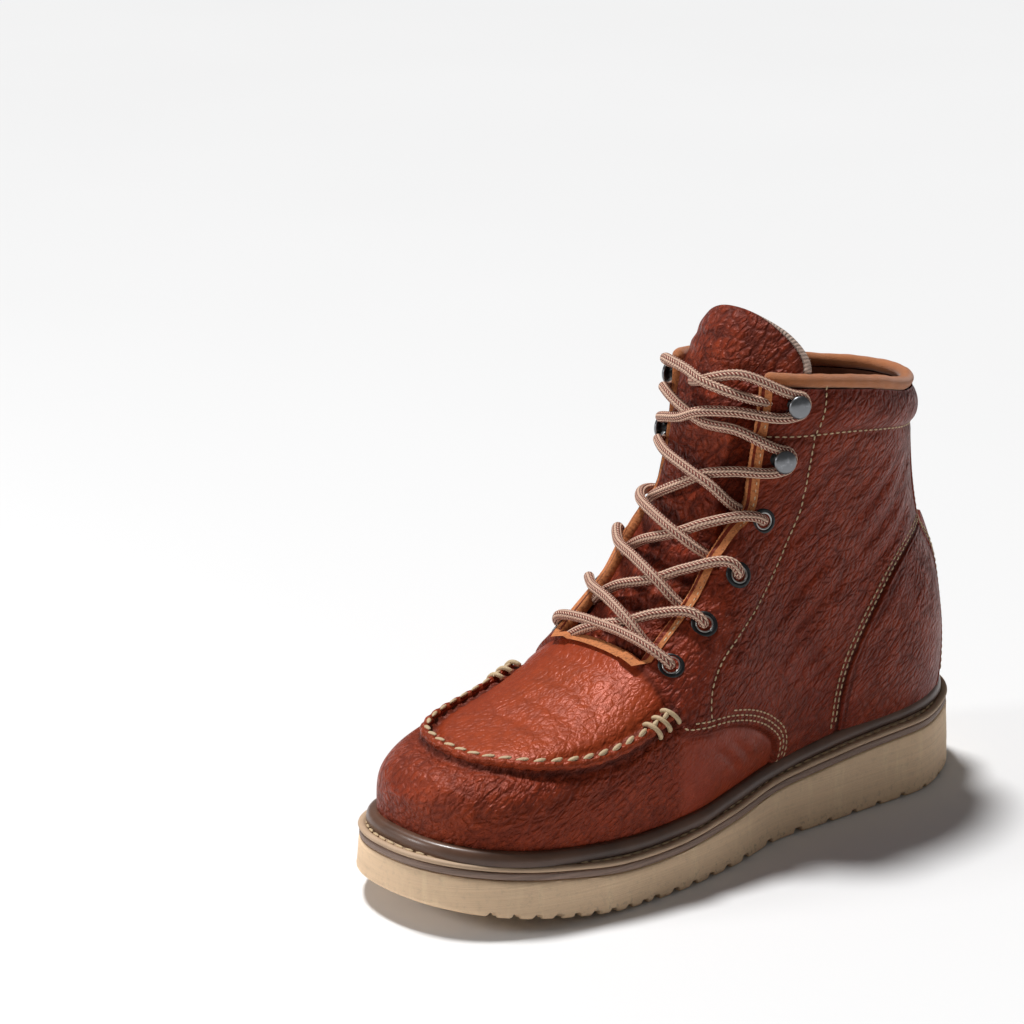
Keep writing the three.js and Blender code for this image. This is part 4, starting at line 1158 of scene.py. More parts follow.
def make_outsole():
    top = outsole_top
    bottom = outsole_bottom

    def between(share):
        return lambda x: top(x) + (bottom(x) - top(x)) * share

    rows = [(22, top), (10, top), (2.2, top), (0.8, lambda x: top(x) - 0.3), (0.25, lambda x: top(x) - 1.1)]
    rows += [(0.2 - 1.1 * share, between(share)) for share in (0.15, 0.3, 0.45, 0.6, 0.72, 0.82, 0.88)]
    rows += [(-0.75, lambda x: bottom(x) + 1.7), (-0.5, lambda x: bottom(x) + 0.9)]
    rows += [(0.1, lambda x: bottom(x) + 0.25), (0.9, bottom), (2.6, bottom), (5.0, bottom), (8.6, bottom)]
    rows += [(9.2, bottom), (22, bottom)]
    first = 11
    last = len(rows) - 2

    def relief(points, u, v):
        level = np.rint(v * (len(rows) - 1)).astype(int)
        low = (level >= first) & (level < last)
        room = points[:, 2] - outsole_bottom(points[:, 0])
        rise = notch_depth(points[:, 0])
        rise = np.maximum(0, rise - room * 0.9)
        points[:, 2] += np.where(low, rise, 0)
        wave = 0.10 * np.sin(points[:, 2] * 3.1 + points[:, 0] / 31) + 0.12 * np.sin(points[:, 0] / 9.0)
        centre = points[:, :2] - np.stack([np.clip(points[:, 0], -110, 110), bend(points[:, 0])], -1)
        away = centre / np.maximum(np.linalg.norm(centre, axis=1, keepdims=True), 1)
        points[:, :2] += away * np.where(level > 3, wave, 0)[:, None]
        return points

    outsole = sole_layer("outsole", rows, 1100, relief)
    finish(outsole, "outsole", "rubber", 50)


def make_midsole():
    top = midsole_top
    # Rows as (distance in from the edge, depth below the top)
    edge = ((24, 0), (3, 0), (1.0, 0), (0.55, 0.35), (0.4, 0.9), (0.45, 1.6), (0.4, 2.3), (0.6, 2.8),
            (1.1, MIDSOLE), (3, MIDSOLE), (24, MIDSOLE))
    rows = [(inset, lambda x, depth=depth: top(x) - depth) for inset, depth in edge]
    midsole = sole_layer("midsole", rows, 420)
    finish(midsole, "midsole", "midsole", 50)


def make_welt():
    top = welt_top

    def below(depth):
        return lambda x: top(x) - depth

    rows = [(15, top), (8.5, top), (5.0, top), (4.3, below(0.1)), (3.9, below(0.75)), (3.3, below(0.9)),
            (2.7, below(0.75)), (2.3, below(0.1)), (1.7, below(0.0)), (0.8, below(0.1)), (0.2, below(0.5)),
            (0.0, below(1.1)), (0.2, below(1.8)), (0.9, below(WELT)), (4, below(WELT)), (15, below(WELT))]

    def relief(points, u, v):
        ripple = 0.12 * np.sin(points[:, 0] / 2.3) * np.sin(points[:, 0] / 7.1)
        points[:, 2] += np.where(np.rint(v * (len(rows) - 1)) < 10, ripple, 0)
        return points

    welt = sole_layer("welt", rows, 600, relief)
    finish(welt, "welt", "welt", 50)
    u = np.linspace(0, 1, 1400)
    path = sole_ring(u, 3.3, lambda x: top(x) - 0.15)
    places, tangents = stitch_places(path, 5.2)
    normals = np.tile((0.0, 0.0, 1.0), (len(places), 1))
    stitches = sew("welt_thread", [(places, tangents, normals)], 4.3, 0.75, 0.0, 6)
    finish(stitches, None, "moc_thread", 80)


def foot_edge(u, rise):
    """The upper's foot around the boot, at a height over the welt."""
    side, share = around_sole(u)
    x = -LENGTH / 2 + HEEL_SHOW + 0.05 + (LENGTH - HEEL_SHOW - WELT_SHOW - 0.1) * share
    z = welt_top(x) + rise
    at = to_share(x)
    base = welt_top(x) - WELT
    widest = base + 0.42 * np.minimum(crown(x) - base, 60)
    half = np.where(side > 0, smooth(PLAN, "outer", at), smooth(PLAN, "inner", at)) * (HALF_WIDTH - WELT_SHOW)
    half = half * round_end(x + LENGTH / 2 - HEEL_SHOW, UPPER_HEEL_ROUND, 2)
    half = half * round_end(LENGTH / 2 - WELT_SHOW - x, UPPER_TOE_ROUND, 2.4)
    low = np.clip((widest - z) / (widest - base), 0, 1)
    half = half * (1 - smooth(PLAN, "tuck", at) * low**2)
    return np.stack([x, bend(x) + side * half, z], -1)


def make_rand():
    """Bead of rubber between the welt and the upper."""
    angles = np.linspace(math.pi / 2, 0, 11)
    profile = [(-1.0, RAND_HEIGHT - 0.2)]
    profile += [(RAND_WIDTH * math.cos(a) ** 0.62, RAND_HEIGHT * math.sin(a) ** 0.85) for a in angles]
    profile += [(RAND_WIDTH - 0.5, 0.0), (-1.0, 0.0)]
    count = len(profile) - 1
    profile = np.array(profile)

    def place(u, v):
        level = np.rint(v * count).astype(int)
        foot = foot_edge(u, RAND_HEIGHT * 0.4)
        way = normals_at(foot)
        way[:, 2] = 0
        way /= np.maximum(np.linalg.norm(way, axis=1, keepdims=True), 1e-6)
        points = foot + way * profile[level, 0][:, None]
        points[:, 2] = welt_top(points[:, 0]) + GAP * 0.3 + profile[level, 1]
        return points

    rand = grid_piece("rand", 520, count, place)
    merge_doubles(rand, 0.01)
    outward(rand)
    finish(rand, "rand", "rand", 50)


def make_insole():
    """Padded footbed inside the boot."""

    def place(u, v):
        foot = foot_edge(u, 3.0)
        spine = np.stack([np.clip(foot[:, 0], -118, 112), bend(foot[:, 0]) * 0.7, foot[:, 2]], -1)
        share = np.clip(v / 0.85, 0, 1) ** 0.6
        points = spine + (foot - spine) * (share * 0.93)[:, None]
        cup = 2.2 * share**4
        points[:, 2] = welt_top(points[:, 0]) + 0.4 + cup - 3.0 * np.clip((v - 0.85) / 0.15, 0, 1)
        return points

    insole = grid_piece("insole", 160, 20, place)
    merge_doubles(insole, 0.05)
    outward(insole)
    finish(insole, "insole", "lining")


# Tongue
TONGUE_ROWS = {
    "at": (0.668, 0.640, 0.610, 0.580, 0.552, 0.528, 0.508,
           0.492, 0.480, 0.468, 0.452, 0.432, 0.412, 0.404),
    "height": (0.430, 0.457, 0.497, 0.545, 0.592, 0.645, 0.700,
               0.760, 0.820, 0.900, 0.980, 1.050, 1.095, 1.106),
    "lean": (0.50, 0.55, 0.60, 0.65, 0.75, 0.90, 1.05, 1.20, 1.32, 1.38, 1.30, 1.20, 1.05, 1.00),
    "half": (0.80, 0.86, 0.90, 0.92, 0.94, 0.95, 0.96, 0.97, 0.98, 1.00, 0.98, 0.88, 0.62, 0.38),
    "sink": (4.4, 3.4, 2.6, 2.2, 2.0, 1.8, 1.6, 1.6, 1.6, 1.6, 1.6, 1.6, 1.6, 1.6),
}
TONGUE = 3.6
TONGUE_HALF = 33.0
TONGUE_DROP = 10.5


def tongue_point(share, v, deep):
    """A place on the tongue: across from -1 to 1, along from 0 to 1, and below its face."""
    rows = {key: np.asarray(value, float) for key, value in TONGUE_ROWS.items()}
    ridge = np.stack([from_share(rows["at"]), rows["height"] * BOOT_HEIGHT], -1)
    arc = np.concatenate([[0], np.cumsum(np.linalg.norm(np.diff(ridge, axis=0), axis=1))])
    arc /= arc[-1]
    table = {"at": arc, "x": ridge[:, 0], "z": ridge[:, 1], "lean": rows["lean"], "sink": rows["sink"]}
    lean = smooth(table, "lean", v)
    reach = 1 - np.clip((v - 0.80) / 0.2, 0, 1) ** 2.5
    start = {"at": (0, 0.15, 0.4, 0.8), "half": (0.80, 0.90, 0.95, 1.0)}
    half = smooth(start, "half", v) * np.maximum(reach, 0) ** (1 / 2.5)
    wrap = 12 * smoothstep(0.66, 0.92, v)
    down = smooth(table, "sink", v) + deep + (TONGUE_DROP + wrap) * (half * np.abs(share)) ** 2.2
    out = np.stack([np.sin(lean), np.zeros_like(lean), np.cos(lean)], -1)
    point = np.stack([smooth(table, "x", v), TONGUE_HALF * half * share, smooth(table, "z", v)], -1)
    return under_facings(point - out * down[:, None], deep)


def under_facings(points, deep):
    """Where the facings lie over the tongue, it is pressed in below their lining."""
    half = throat_half(points[:, 2])
    reach = smoothstep(half - 8, half - 1, np.abs(points[:, 1]))
    low = smoothstep(rim(points[:, 0]) + 7, rim(points[:, 0]) - 1, points[:, 2])
    need = (WALL + 0.9) * reach * low
    over = np.maximum(form(points) + need + np.maximum(deep, 0), 0) * np.minimum(1, 4 * reach * low)
    return points - normals_at(points) * over[:, None]


def tongue_puff(share, v):
    """Padding of the tongue's face, with soft wrinkles near its top."""
    edge = np.clip(1 - np.abs(share), 0, 1)
    puff = 1.2 * np.sqrt(np.clip(edge * 4, 0, 1)) * smoothstep(0.45, 0.75, v) * smoothstep(1.0, 0.93, v)
    for middle, tilt, depth, width in ((0.62, 0.02, 0.7, 0.016), (0.69, -0.03, 0.8, 0.018),
                                       (0.77, 0.035, 0.9, 0.020), (0.845, -0.025, 0.7, 0.018),
                                       (0.91, 0.02, 0.5, 0.016)):
        line = v - middle - tilt * share - 0.012 * np.sin(share * 5 + middle * 40)
        puff -= depth * bump(line, width) * smoothstep(0.02, 0.3, edge)
    ripple = np.sin(share * 4.3 + v * 37) * np.sin(v * 61 - share * 3.1) + 0.6 * np.sin(share * 9 - v * 83)
    return puff + 0.35 * ripple * smoothstep(0.0, 0.3, edge) * smoothstep(0.98, 0.9, v)


def make_tongue():
    def face(u, v):
        v = np.sin(v * math.pi / 2)
        share = 2 * u - 1
        share = share * (1.25 - 0.25 * share * share)
        points = tongue_point(share, v, -tongue_puff(share, v))
        edge = np.clip(1 - np.abs(share), 0, 1) * TONGUE_HALF
        # The seam value darkens the tongue's edges: their seam, with painted shade where the face turns down.
        values = {"tone": 0.42 + 0.1 * np.sin(v * 31), "seam": 0.7 * bump(edge, 2.0),
                  "grain": np.full(len(u), 0.75)}
        return points, values

    def lining(u, v):
        v = np.sin(v * math.pi / 2)
        share = 2 * u - 1
        return tongue_point(share, v, TONGUE + 0.5 * np.sqrt(np.clip(1 - share * share, 0, 1)))

    def rim_edge(u, v):
        turn = v * 2 - 1
        share = np.where(turn < 0, -1.0, 1.0)
        along = 1 - 0.42 * np.abs(turn) ** 3
        angle = u * 2 * math.pi
        middle = tongue_point(share, along, np.full(len(u), TONGUE * 0.7))
        face_way = tongue_point(share, along, np.zeros(len(u))) - middle
        face_way /= np.linalg.norm(face_way, axis=1, keepdims=True)
        inward = tongue_point(share * 0.9, along * 0.985, np.full(len(u), TONGUE * 0.7)) - middle
        inward -= face_way * (inward * face_way).sum(1, keepdims=True)
        inward /= np.maximum(np.linalg.norm(inward, axis=1, keepdims=True), 1e-6)
        radius = TONGUE / 2 + 0.25
        over = face_way * (radius * np.cos(angle))[:, None]
        return middle + over - inward * (radius * 0.8 * np.sin(angle))[:, None]

    tongue = grid_piece("tongue", 110, 230, face)
    merge_doubles(tongue, 0.01)
    turn_faces(tongue, (1, 0, 0.6))
    finish(tongue, "tongue", "leather")
    inside = grid_piece("tongue_lining", 60, 120, lining)
    merge_doubles(inside, 0.01)
    turn_faces(inside, (-1, 0, -0.6))
    finish(inside, None, "mesh_lining")
    edge = grid_piece("tongue_edge", 12, 300, rim_edge)
    merge_doubles(edge, 0.01)
    outward(edge)
    finish(edge, None, "mesh_edge")


def turn_faces(obj, way):
    """Turn an open sheet so that its faces look the given way."""
    ways = np.zeros(len(obj.data.polygons) * 3)
    obj.data.polygons.foreach_get("normal", ways)
    if (ways.reshape(-1, 3) @ np.array(way, float)).sum() < 0:
        edit(obj)
        bpy.ops.mesh.select_all(action="SELECT")
        bpy.ops.mesh.flip_normals()
        bpy.ops.object.mode_set(mode="OBJECT")


# Eyelets, hooks and laces
def fastener_frame(row, side):
    """Place, outward direction and two cross directions of an eyelet or a hook."""
    _, at, height = FASTENERS[row]
    start = np.array([[from_share(at), 0.0, height * BOOT_HEIGHT]])
    point = cast(start, np.array([[0.0, float(side), 0.0]]))
    out = normals_at(point)[0]
    point = point[0]
    up = np.array([0.0, 0.0, 1.0]) - out * out[2]
    up /= np.linalg.norm(up)
    return point, out, np.cross(up, out), up


def make_fasteners():
    ring = rounded([(3.5, 0.4), (3.7, SEAT + 1.1), (4.5, SEAT + 1.35), (5.4, SEAT + 0.95),
                    (EYELET_OUTER, SEAT - 0.1), (EYELET_OUTER, 0.2)])
    barrel = rounded([(3.8, SEAT + 0.8), (3.6, SEAT + 1.3), (3.1, SEAT + 1.2), (2.75, SEAT + 0.3),
                      (2.75, -WALL), (3.1, -WALL)])
    stem = rounded([(0.0, 0.4), (HOOK_HEAD * 0.95, 0.4), (HOOK_HEAD * 0.9, SEAT + 0.5),
                    (HOOK_NECK + 0.6, SEAT + 0.9), (HOOK_NECK, SEAT + 2.0), (HOOK_NECK, HOOK_RISE - 3.2),
                    (HOOK_NECK + 1.4, HOOK_RISE - 2.4), (HOOK_HEAD - 0.4, HOOK_RISE - 2.2)])
    head = rounded([(HOOK_HEAD - 1.2, HOOK_RISE - 2.4), (HOOK_HEAD, HOOK_RISE - 2.2),
                    (HOOK_HEAD, HOOK_RISE - 1.5), (HOOK_HEAD * 0.84, HOOK_RISE - 0.7),
                    (HOOK_HEAD * 0.4, HOOK_RISE - 0.05), (0.0, HOOK_RISE)])
    for side, side_name in ((1, "outer"), (-1, "inner")):
        for row, (kind, _, _) in enumerate(FASTENERS):
            node = f"{kind}_{side_name}_{row + 1}"
            frame_of = fastener_frame(row, side)
            if kind == "eyelet":
                finish(lathe(node + "_ring", ring, 40, frame_of), node, "enamel", 50)
                finish(lathe(node + "_barrel", barrel, 40, frame_of), None, "bright", 50)
                # The bore's dark disc is painted shade inside the eyelet's hole.
                finish(eyelet_shadow(node + "_bore", frame_of), None, "dark")
            else:
                finish(lathe(node + "_stem", stem, 40, frame_of), node, "enamel", 50)
                finish(lathe(node + "_head", head, 44, frame_of), None, "gunmetal", 50)


def eyelet_shadow(name, frame_of):
    """Dark disc under an eyelet, where its bore goes through the leather."""
    radius = EYELET_BORE + 0.3
    return lathe(name, [(0.0, 0.35), (radius, 0.35), (radius, -1.0), (0.0, -1.0)], 20, frame_of)


def lace_place(row, across, lift):
    """A place on the lace: row of fasteners, distance across the throat, lift off the ridge."""
    i = min(int(row), len(FASTENERS) - 2)
    t = row - i
    lean = LEANS[i] + (LEANS[i + 1] - LEANS[i]) * t
    out = np.array([math.sin(lean), 0.0, math.cos(lean)])
    at = FASTENERS[i][1] + (FASTENERS[i + 1][1] - FASTENERS[i][1]) * t
    height = FASTENERS[i][2] + (FASTENERS[i + 1][2] - FASTENERS[i][2]) * t
    start = np.array([[from_share(at), float(across), BOOT_HEIGHT * height]]) - out * 12
    return cast(start, out[None, :])[0] + out * (lift + LACE / 2)


def into_eyelet(row, side):
    """Over an eyelet's rim and down into its bore."""
    point, out, across, up = fastener_frame(row, side)
    centre = point + out * (SEAT + 1.3 + LACE * 0.45)
    inward = np.array([0.0, -side, 0.0])
    inward -= out * (inward @ out)
    inward /= np.linalg.norm(inward)
    return [centre + inward * 4.2 + out * 0.3, centre + inward * 1.4 - out * 0.6,
            point + inward * 0.2 + out * 0.3, point - out * 3.0]


def around_hook(row, side):
    """Around the outer half of a hook's neck, from below to above."""
    point, out, across, up = fastener_frame(row, side)
    away = np.cross(up, out) * side
    reach = HOOK_NECK + LACE / 2 + GAP
    places = []
    for degrees in (-95, -55, 0, 55, 95):
        angle = math.radians(degrees)
        at = point + out * ((SEAT + 1 + HOOK_RISE - 2.6) / 2)
        places.append(at + away * (reach * math.cos(angle)) + up * (reach * math.sin(angle)))
    return places


LACE_EDGE = THROAT_HALF * 0.9 - LACE / 2 - 3 * GAP
CLEAR = 2.2


# Strands as (rows past the eyelet, across, lift), from under one facing to the eyelet opposite
TO_OUTER = ((-0.34, -25, -5.5), (-0.26, -19, -3.0), (-0.10, -8, 0.8), (0.28, 11, 2.2), (0.64, 20.5, 2.4))
TO_INNER = ((0.10, 26, -6.0), (0.10, 22, -2.8), (0.22, 13, 4.4), (0.46, -2, 5.3), (0.72, -19, 3.4))
# The last two strands run around the hooks and end under the facing and the other strand
TOP_OUTER = (
    (2.72, -25, -5.5), (2.82, -19, -3.0), (3.02, -7, 1.0), (3.26, 3, 2.2), (3.52, 12, 2.2), (3.66, 21, 2.6),
    ("hook", 4, 1), (4.42, 21, 2.8), (4.43, 8, 2.4), (4.60, -4, 3.0), (4.82, -19, 3.6),
    ("hook", 5, -1), (5.42, -16, 3.6), (5.34, -2, 3.8), (5.22, 8, 5.4), (5.10, 19, 4.6), (5.0, 25, 0.5),
    (4.96, 28, -5.0),
)
TOP_INNER = (
    (3.06, 27, -6.0), (3.10, 23, -2.8), (3.36, 17, 4.6), (3.54, 6, 5.4), (3.74, -12, 3.8), (3.84, -20, 3.6),
    ("hook", 4, -1), (4.32, -17, 3.4), (4.42, -5, 3.2), (4.64, 8, 5.0), (4.74, 20, 3.6),
    ("hook", 5, 1), (5.44, 20, 2.8), (5.30, 10, 2.0), (5.18, 3, 0.6), (5.12, -3, -2.0), (5.08, -8, -4.5),
)


def lace(name, points, node):
    path = curve_through(points, max(30, int(len(points) * 11)))
    made = tube(name, path, LACE / 2, 20)
    finish(made, node, "lace", 80)


def make_laces():
    middle = [lace_place(0, side * LACE_EDGE * 0.6, CLEAR + 0.4 - 0.2 * (side == 0)) for side in (1, 0, -1)]
    bar = [*reversed(into_eyelet(0, 1)), *middle, *into_eyelet(0, -1)]
    lace("lace_bar", bar, "lace_bar")
    for row in range(3):
        for side, strand in ((1, TO_OUTER), (-1, TO_INNER)):
            points = [lace_place(row + step, across, lift) for step, across, lift in strand]
            name = f"lace_crossing_{row + 1}_{'outer' if side > 0 else 'inner'}"
            lace(name, points + into_eyelet(row + 1, side), f"lace_crossing_{row + 1}")
    for name, strand in (("lace_top_outer", TOP_OUTER), ("lace_top_inner", TOP_INNER)):
        points = []
        for step in strand:
            if step[0] == "hook":
                points += around_hook(step[1], step[2])
            else:
                points.append(lace_place(*step))
        lace(name, points, "lace_top")


# Shader maths
class Value:
    """A socket of a material that takes arithmetic, so that a pattern reads like a formula."""

    def __init__(self, shader, socket):
        self.shader = shader
        self.socket = socket

    def maths(self, operation, *others):
        inputs = dict(enumerate((self, *others)))
        return self.shader.node("ShaderNodeMath", {"operation": operation}, inputs)

    def __add__(self, other):
        return self.maths("ADD", other)

    def __sub__(self, other):
        return self.maths("SUBTRACT", other)

    def __rsub__(self, other):
        return self.shader.node("ShaderNodeMath", {"operation": "SUBTRACT"}, {0: other, 1: self})

    def __mul__(self, other):
        return self.maths("MULTIPLY", other)

    def __pow__(self, other):
        return self.maths("POWER", other)

    __radd__ = __add__
    __rmul__ = __mul__

    def clamped(self):
        return self.shader.node("ShaderNodeClamp", {}, {"Value": self})

    def above(self, low, high):
        """0 below low and 1 above high, with a smooth step between."""
        settings = {"interpolation_type": "SMOOTHSTEP"}
        inputs = {"Value": self, "From Min": low, "From Max": high}
        return self.shader.node("ShaderNodeMapRange", settings, inputs)


class Shader:
    """A material being put together."""

    def __init__(self, name):
        self.material = bpy.data.materials.new("boot_" + name)
        self.material.use_nodes = True
        self.tree = self.material.node_tree
        self.tree.nodes.clear()
        self.place = self.node("ShaderNodeTexCoord", {}, {}, "Object")
        self.map = self.node("ShaderNodeTexCoord", {}, {}, "UV")

    def node(self, kind, settings, inputs, output=0):
        made = self.tree.nodes.new(kind)
        for key, value in settings.items():
            if key == "stops":
                ramp = made.color_ramp
                while len(ramp.elements) < len(value):
                    ramp.elements.new(0.5)
                for element, (place, colour) in zip(ramp.elements, value):
                    element.position = place
                    element.color = colour
            else:
                setattr(made, key, value)
        for key, value in inputs.items():
            if isinstance(value, Value):
                self.tree.links.new(value.socket, made.inputs[key])
            else:
                made.inputs[key].default_value = value
        return Value(self, made.outputs[output])

    def attribute(self, name):
        return self.node("ShaderNodeAttribute", {"attribute_name": name}, {}, "Fac")

    def scaled(self, scale):
        return self.node("ShaderNodeMapping", {}, {"Vector": self.place, "Scale": scale})

    def stretched(self, turn, lengths):
        """Places for a pattern whose features are longer along turned axes."""
        inputs = {"Vector": self.place, "Rotation": turn, "Scale": lengths}
        return self.node("ShaderNodeMapping", {"vector_type": "TEXTURE"}, inputs)

    def noise(self, scale, detail=3.0, rough=0.55, source=None, distortion=0.0):
        inputs = {"Vector": source or self.place, "Scale": scale, "Detail": detail, "Roughness": rough,
                  "Distortion": distortion}
        return self.node("ShaderNodeTexNoise", {}, inputs)

    def cells(self, scale, feature="F1", source=None, jitter=1.0):
        inputs = {"Vector": source or self.place, "Scale": scale, "Randomness": jitter}
        return self.node("ShaderNodeTexVoronoi", {"feature": feature}, inputs, "Distance")

    def mix(self, a, b, factor):
        settings = {"data_type": "RGBA"}
        return self.node("ShaderNodeMix", settings, {0: factor, 6: a, 7: b}, 2)

    def split(self, vector):
        made = self.tree.nodes.new("ShaderNodeSeparateXYZ")
        self.tree.links.new(vector.socket, made.inputs[0])
        return [Value(self, made.outputs[i]) for i in range(3)]

    def bump(self, height, distance, strength=1.0, normal=None):
        inputs = {"Height": height, "Distance": distance * MM, "Strength": strength}
        if normal:
            inputs["Normal"] = normal
        return self.node("ShaderNodeBump", {}, inputs)

    def surface(self, **inputs):
        """Finish with a principled surface. Underscores in the names stand for spaces."""
        inputs = {key.replace("_", " "): value for key, value in inputs.items()}
        shader = self.node("ShaderNodeBsdfPrincipled", {}, inputs)
        self.node_output(shader)
        return self.material

    def node_output(self, shader):
        made = self.tree.nodes.new("ShaderNodeOutputMaterial")
        self.tree.links.new(shader.socket, made.inputs["Surface"])


def colour(name):
    return (*getattr(bpy.context.scene.boot_colours, name), 1.0)


def shade(name, factor):
    """A colour of the boot, lighter or darker."""
    return (*(min(1.0, c * factor) for c in getattr(bpy.context.scene.boot_colours, name)), 1.0)


def leather():
    """Oiled, tumbled leather: mottled red brown, pebbled, with long wrinkles that run down to the front, and
    painted shade in its creases, pebble valleys and seams.
    """
    s = Shader("leather")
    tone = s.attribute("tone")
    seam = s.attribute("seam")
    grain = s.attribute("grain")
    cloudy = s.noise(34, 4, 0.6)
    patchy = s.noise(170, 4, 0.62)
    fine = s.noise(1000, 3, 0.6)
    lean = s.stretched((0, 0.6, 0), (1.9, 1.4, 1))
    pebble = s.cells(330, "DISTANCE_TO_EDGE", lean).above(0.0, 0.28)
    small = s.cells(620, "DISTANCE_TO_EDGE", lean).above(0.0, 0.25)
    wrinkle = s.noise(230, 4, 0.6, s.stretched((0, 0.62, 0), (3.0, 1.6, 1)), 0.9)
    fold = s.noise(80, 3, 0.55, s.stretched((0, 0.56, 0), (3.4, 1.7, 1)), 1.0)
    line = (1 - (wrinkle - 0.5).maths("ABSOLUTE") * 8.0).clamped() * grain
    deep = (1 - (fold - 0.5).maths("ABSOLUTE") * 9.0).clamped() * grain
    body = s.mix(colour("leather"), colour("leather_warm"), (tone + (cloudy - 0.5) * 0.8).clamped())
    mottle = ((patchy - 0.5) * 1.8 + (cloudy - 0.5) * 1.4 + 0.25).clamped()
    body = s.mix(body, colour("leather_dark_and_shade"), mottle * 0.55)
    body = s.mix(body, colour("leather_light"), fine.above(0.5, 0.8) * (1 - seam).clamped() * 0.3)
    # Painted shade: wrinkle lines, folds and the valleys between pebbles are darkened.
    shaded_valley = (line * 0.4 + deep * 0.6 + (1 - pebble) * (grain + 0.06) * 0.5).clamped()
    body = s.mix(body, colour("leather_dark_and_shade"), shaded_valley * 0.8)
    # Painted shade along the seams, from the seam value, over the seams' own dark joints.
    body = s.mix(body, shade("leather_dark_and_shade", 0.35), seam.clamped() * 0.75)
    height = fine * 0.06 + patchy * 0.3 + pebble * (grain * 0.45 + 0.05) + small * (grain * 0.12 + 0.05)
    height = height - line * 0.22 - deep * 0.5 + fold * grain * 1.4
    rough = 0.36 + (patchy - 0.5) * 0.3 + shaded_valley * 0.2 + seam * 0.15
    return s.surface(Base_Color=body, Roughness=rough.clamped(), Normal=s.bump(height, 1.3),
                     Specular_Tint=(1.0, 0.36, 0.28, 1), Specular_IOR_Level=0.4)


def suede():
    """Brushed nap of the collar's binding."""
    s = Shader("suede")
    nap = s.noise(1500, 4, 0.7)
    cloudy = s.noise(120, 3, 0.6)
    body = s.mix(colour("suede"), shade("suede", 0.55), (nap * 0.5 + cloudy * 0.7 - 0.25).clamped())
    return s.surface(Base_Color=body, Roughness=0.95, Normal=s.bump(nap + cloudy * 0.6, 0.5, 0.9),
                     Sheen_Weight=0.35, Sheen_Roughness=0.5)


def raw_edge():
    """Cut edge of the leather: fibres between two darker skins."""
    s = Shader("raw_edge")
    fibre = s.noise(900, 4, 0.7)
    body = s.mix(colour("suede"), shade("leather_dark_and_shade", 1.0), fibre.above(0.45, 0.75) * 0.7)
    return s.surface(Base_Color=body, Roughness=0.85, Normal=s.bump(fibre, 0.4, 0.8))


def lining():
    """Soft brown lining leather with fine pores."""
    s = Shader("lining")
    pore = s.cells(700)
    cloudy = s.noise(60, 3, 0.6)
    body = s.mix(colour("lining"), shade("lining", 0.6), cloudy.above(0.35, 0.7))
    return s.surface(Base_Color=body, Roughness=0.8, Normal=s.bump(pore, 0.3, 0.5))


def mesh_lining():
    """Spacer mesh behind the tongue, with rows of oval holes painted dark as the shade inside them."""
    s = Shader("mesh_lining")
    x, y, z = s.split(s.map)
    across = x * 17
    along = y * 34
    shifted = across + (along.maths("FLOOR") * 0.5)
    fx = shifted.maths("FRACT") - 0.5
    fy = along.maths("FRACT") - 0.5
    hole = (fx * fx * 1.0 + fy * fy * 1.5).maths("SQRT")
    solid = hole.above(0.27, 0.36)
    knit = s.noise(1400, 2, 0.5)
    # The holes get painted shade: a darkened copy of the mesh colour.
    body = s.mix(shade("mesh", 0.22), s.mix(colour("mesh"), shade("mesh", 0.7), knit), solid)
    return s.surface(Base_Color=body, Roughness=0.85, Normal=s.bump(solid * 1.5 + knit * 0.3, 0.6, 0.9))


def mesh_edge():
    """Overlocked edge of the tongue's lining."""
    s = Shader("mesh_edge")
    x, y, z = s.split(s.map)
    rib = (y * 620 + x * 6.28).maths("SINE") * 0.5 + 0.5
    knit = s.noise(1500, 3, 0.6)
    body = s.mix(colour("mesh_edge"), shade("mesh_edge", 0.5), (rib * 0.5 + knit * 0.4).clamped())
    return s.surface(Base_Color=body, Roughness=0.9, Normal=s.bump(rib + knit * 0.5, 0.4, 0.9))


def thread():
    """Waxed thread of the thin seams."""
    s = Shader("thread")
    ply = s.noise(2200, 2, 0.5)
    body = s.mix(colour("thread"), shade("thread", 0.55), ply.above(0.4, 0.75))
    return s.surface(Base_Color=body, Roughness=0.65, Normal=s.bump(ply, 0.2, 0.6))


def moc_thread():
    """Thick waxed thread of the toe seam and the welt."""
    s = Shader("moc_thread")
    ply = s.noise(1300, 3, 0.6)
    dirt = s.noise(70, 3, 0.6)
    body = s.mix(colour("thread"), shade("thread", 0.5), (ply * 0.5 + dirt * 0.7 - 0.2).clamped())
    return s.surface(Base_Color=body, Roughness=0.6, Normal=s.bump(ply, 0.3, 0.8))


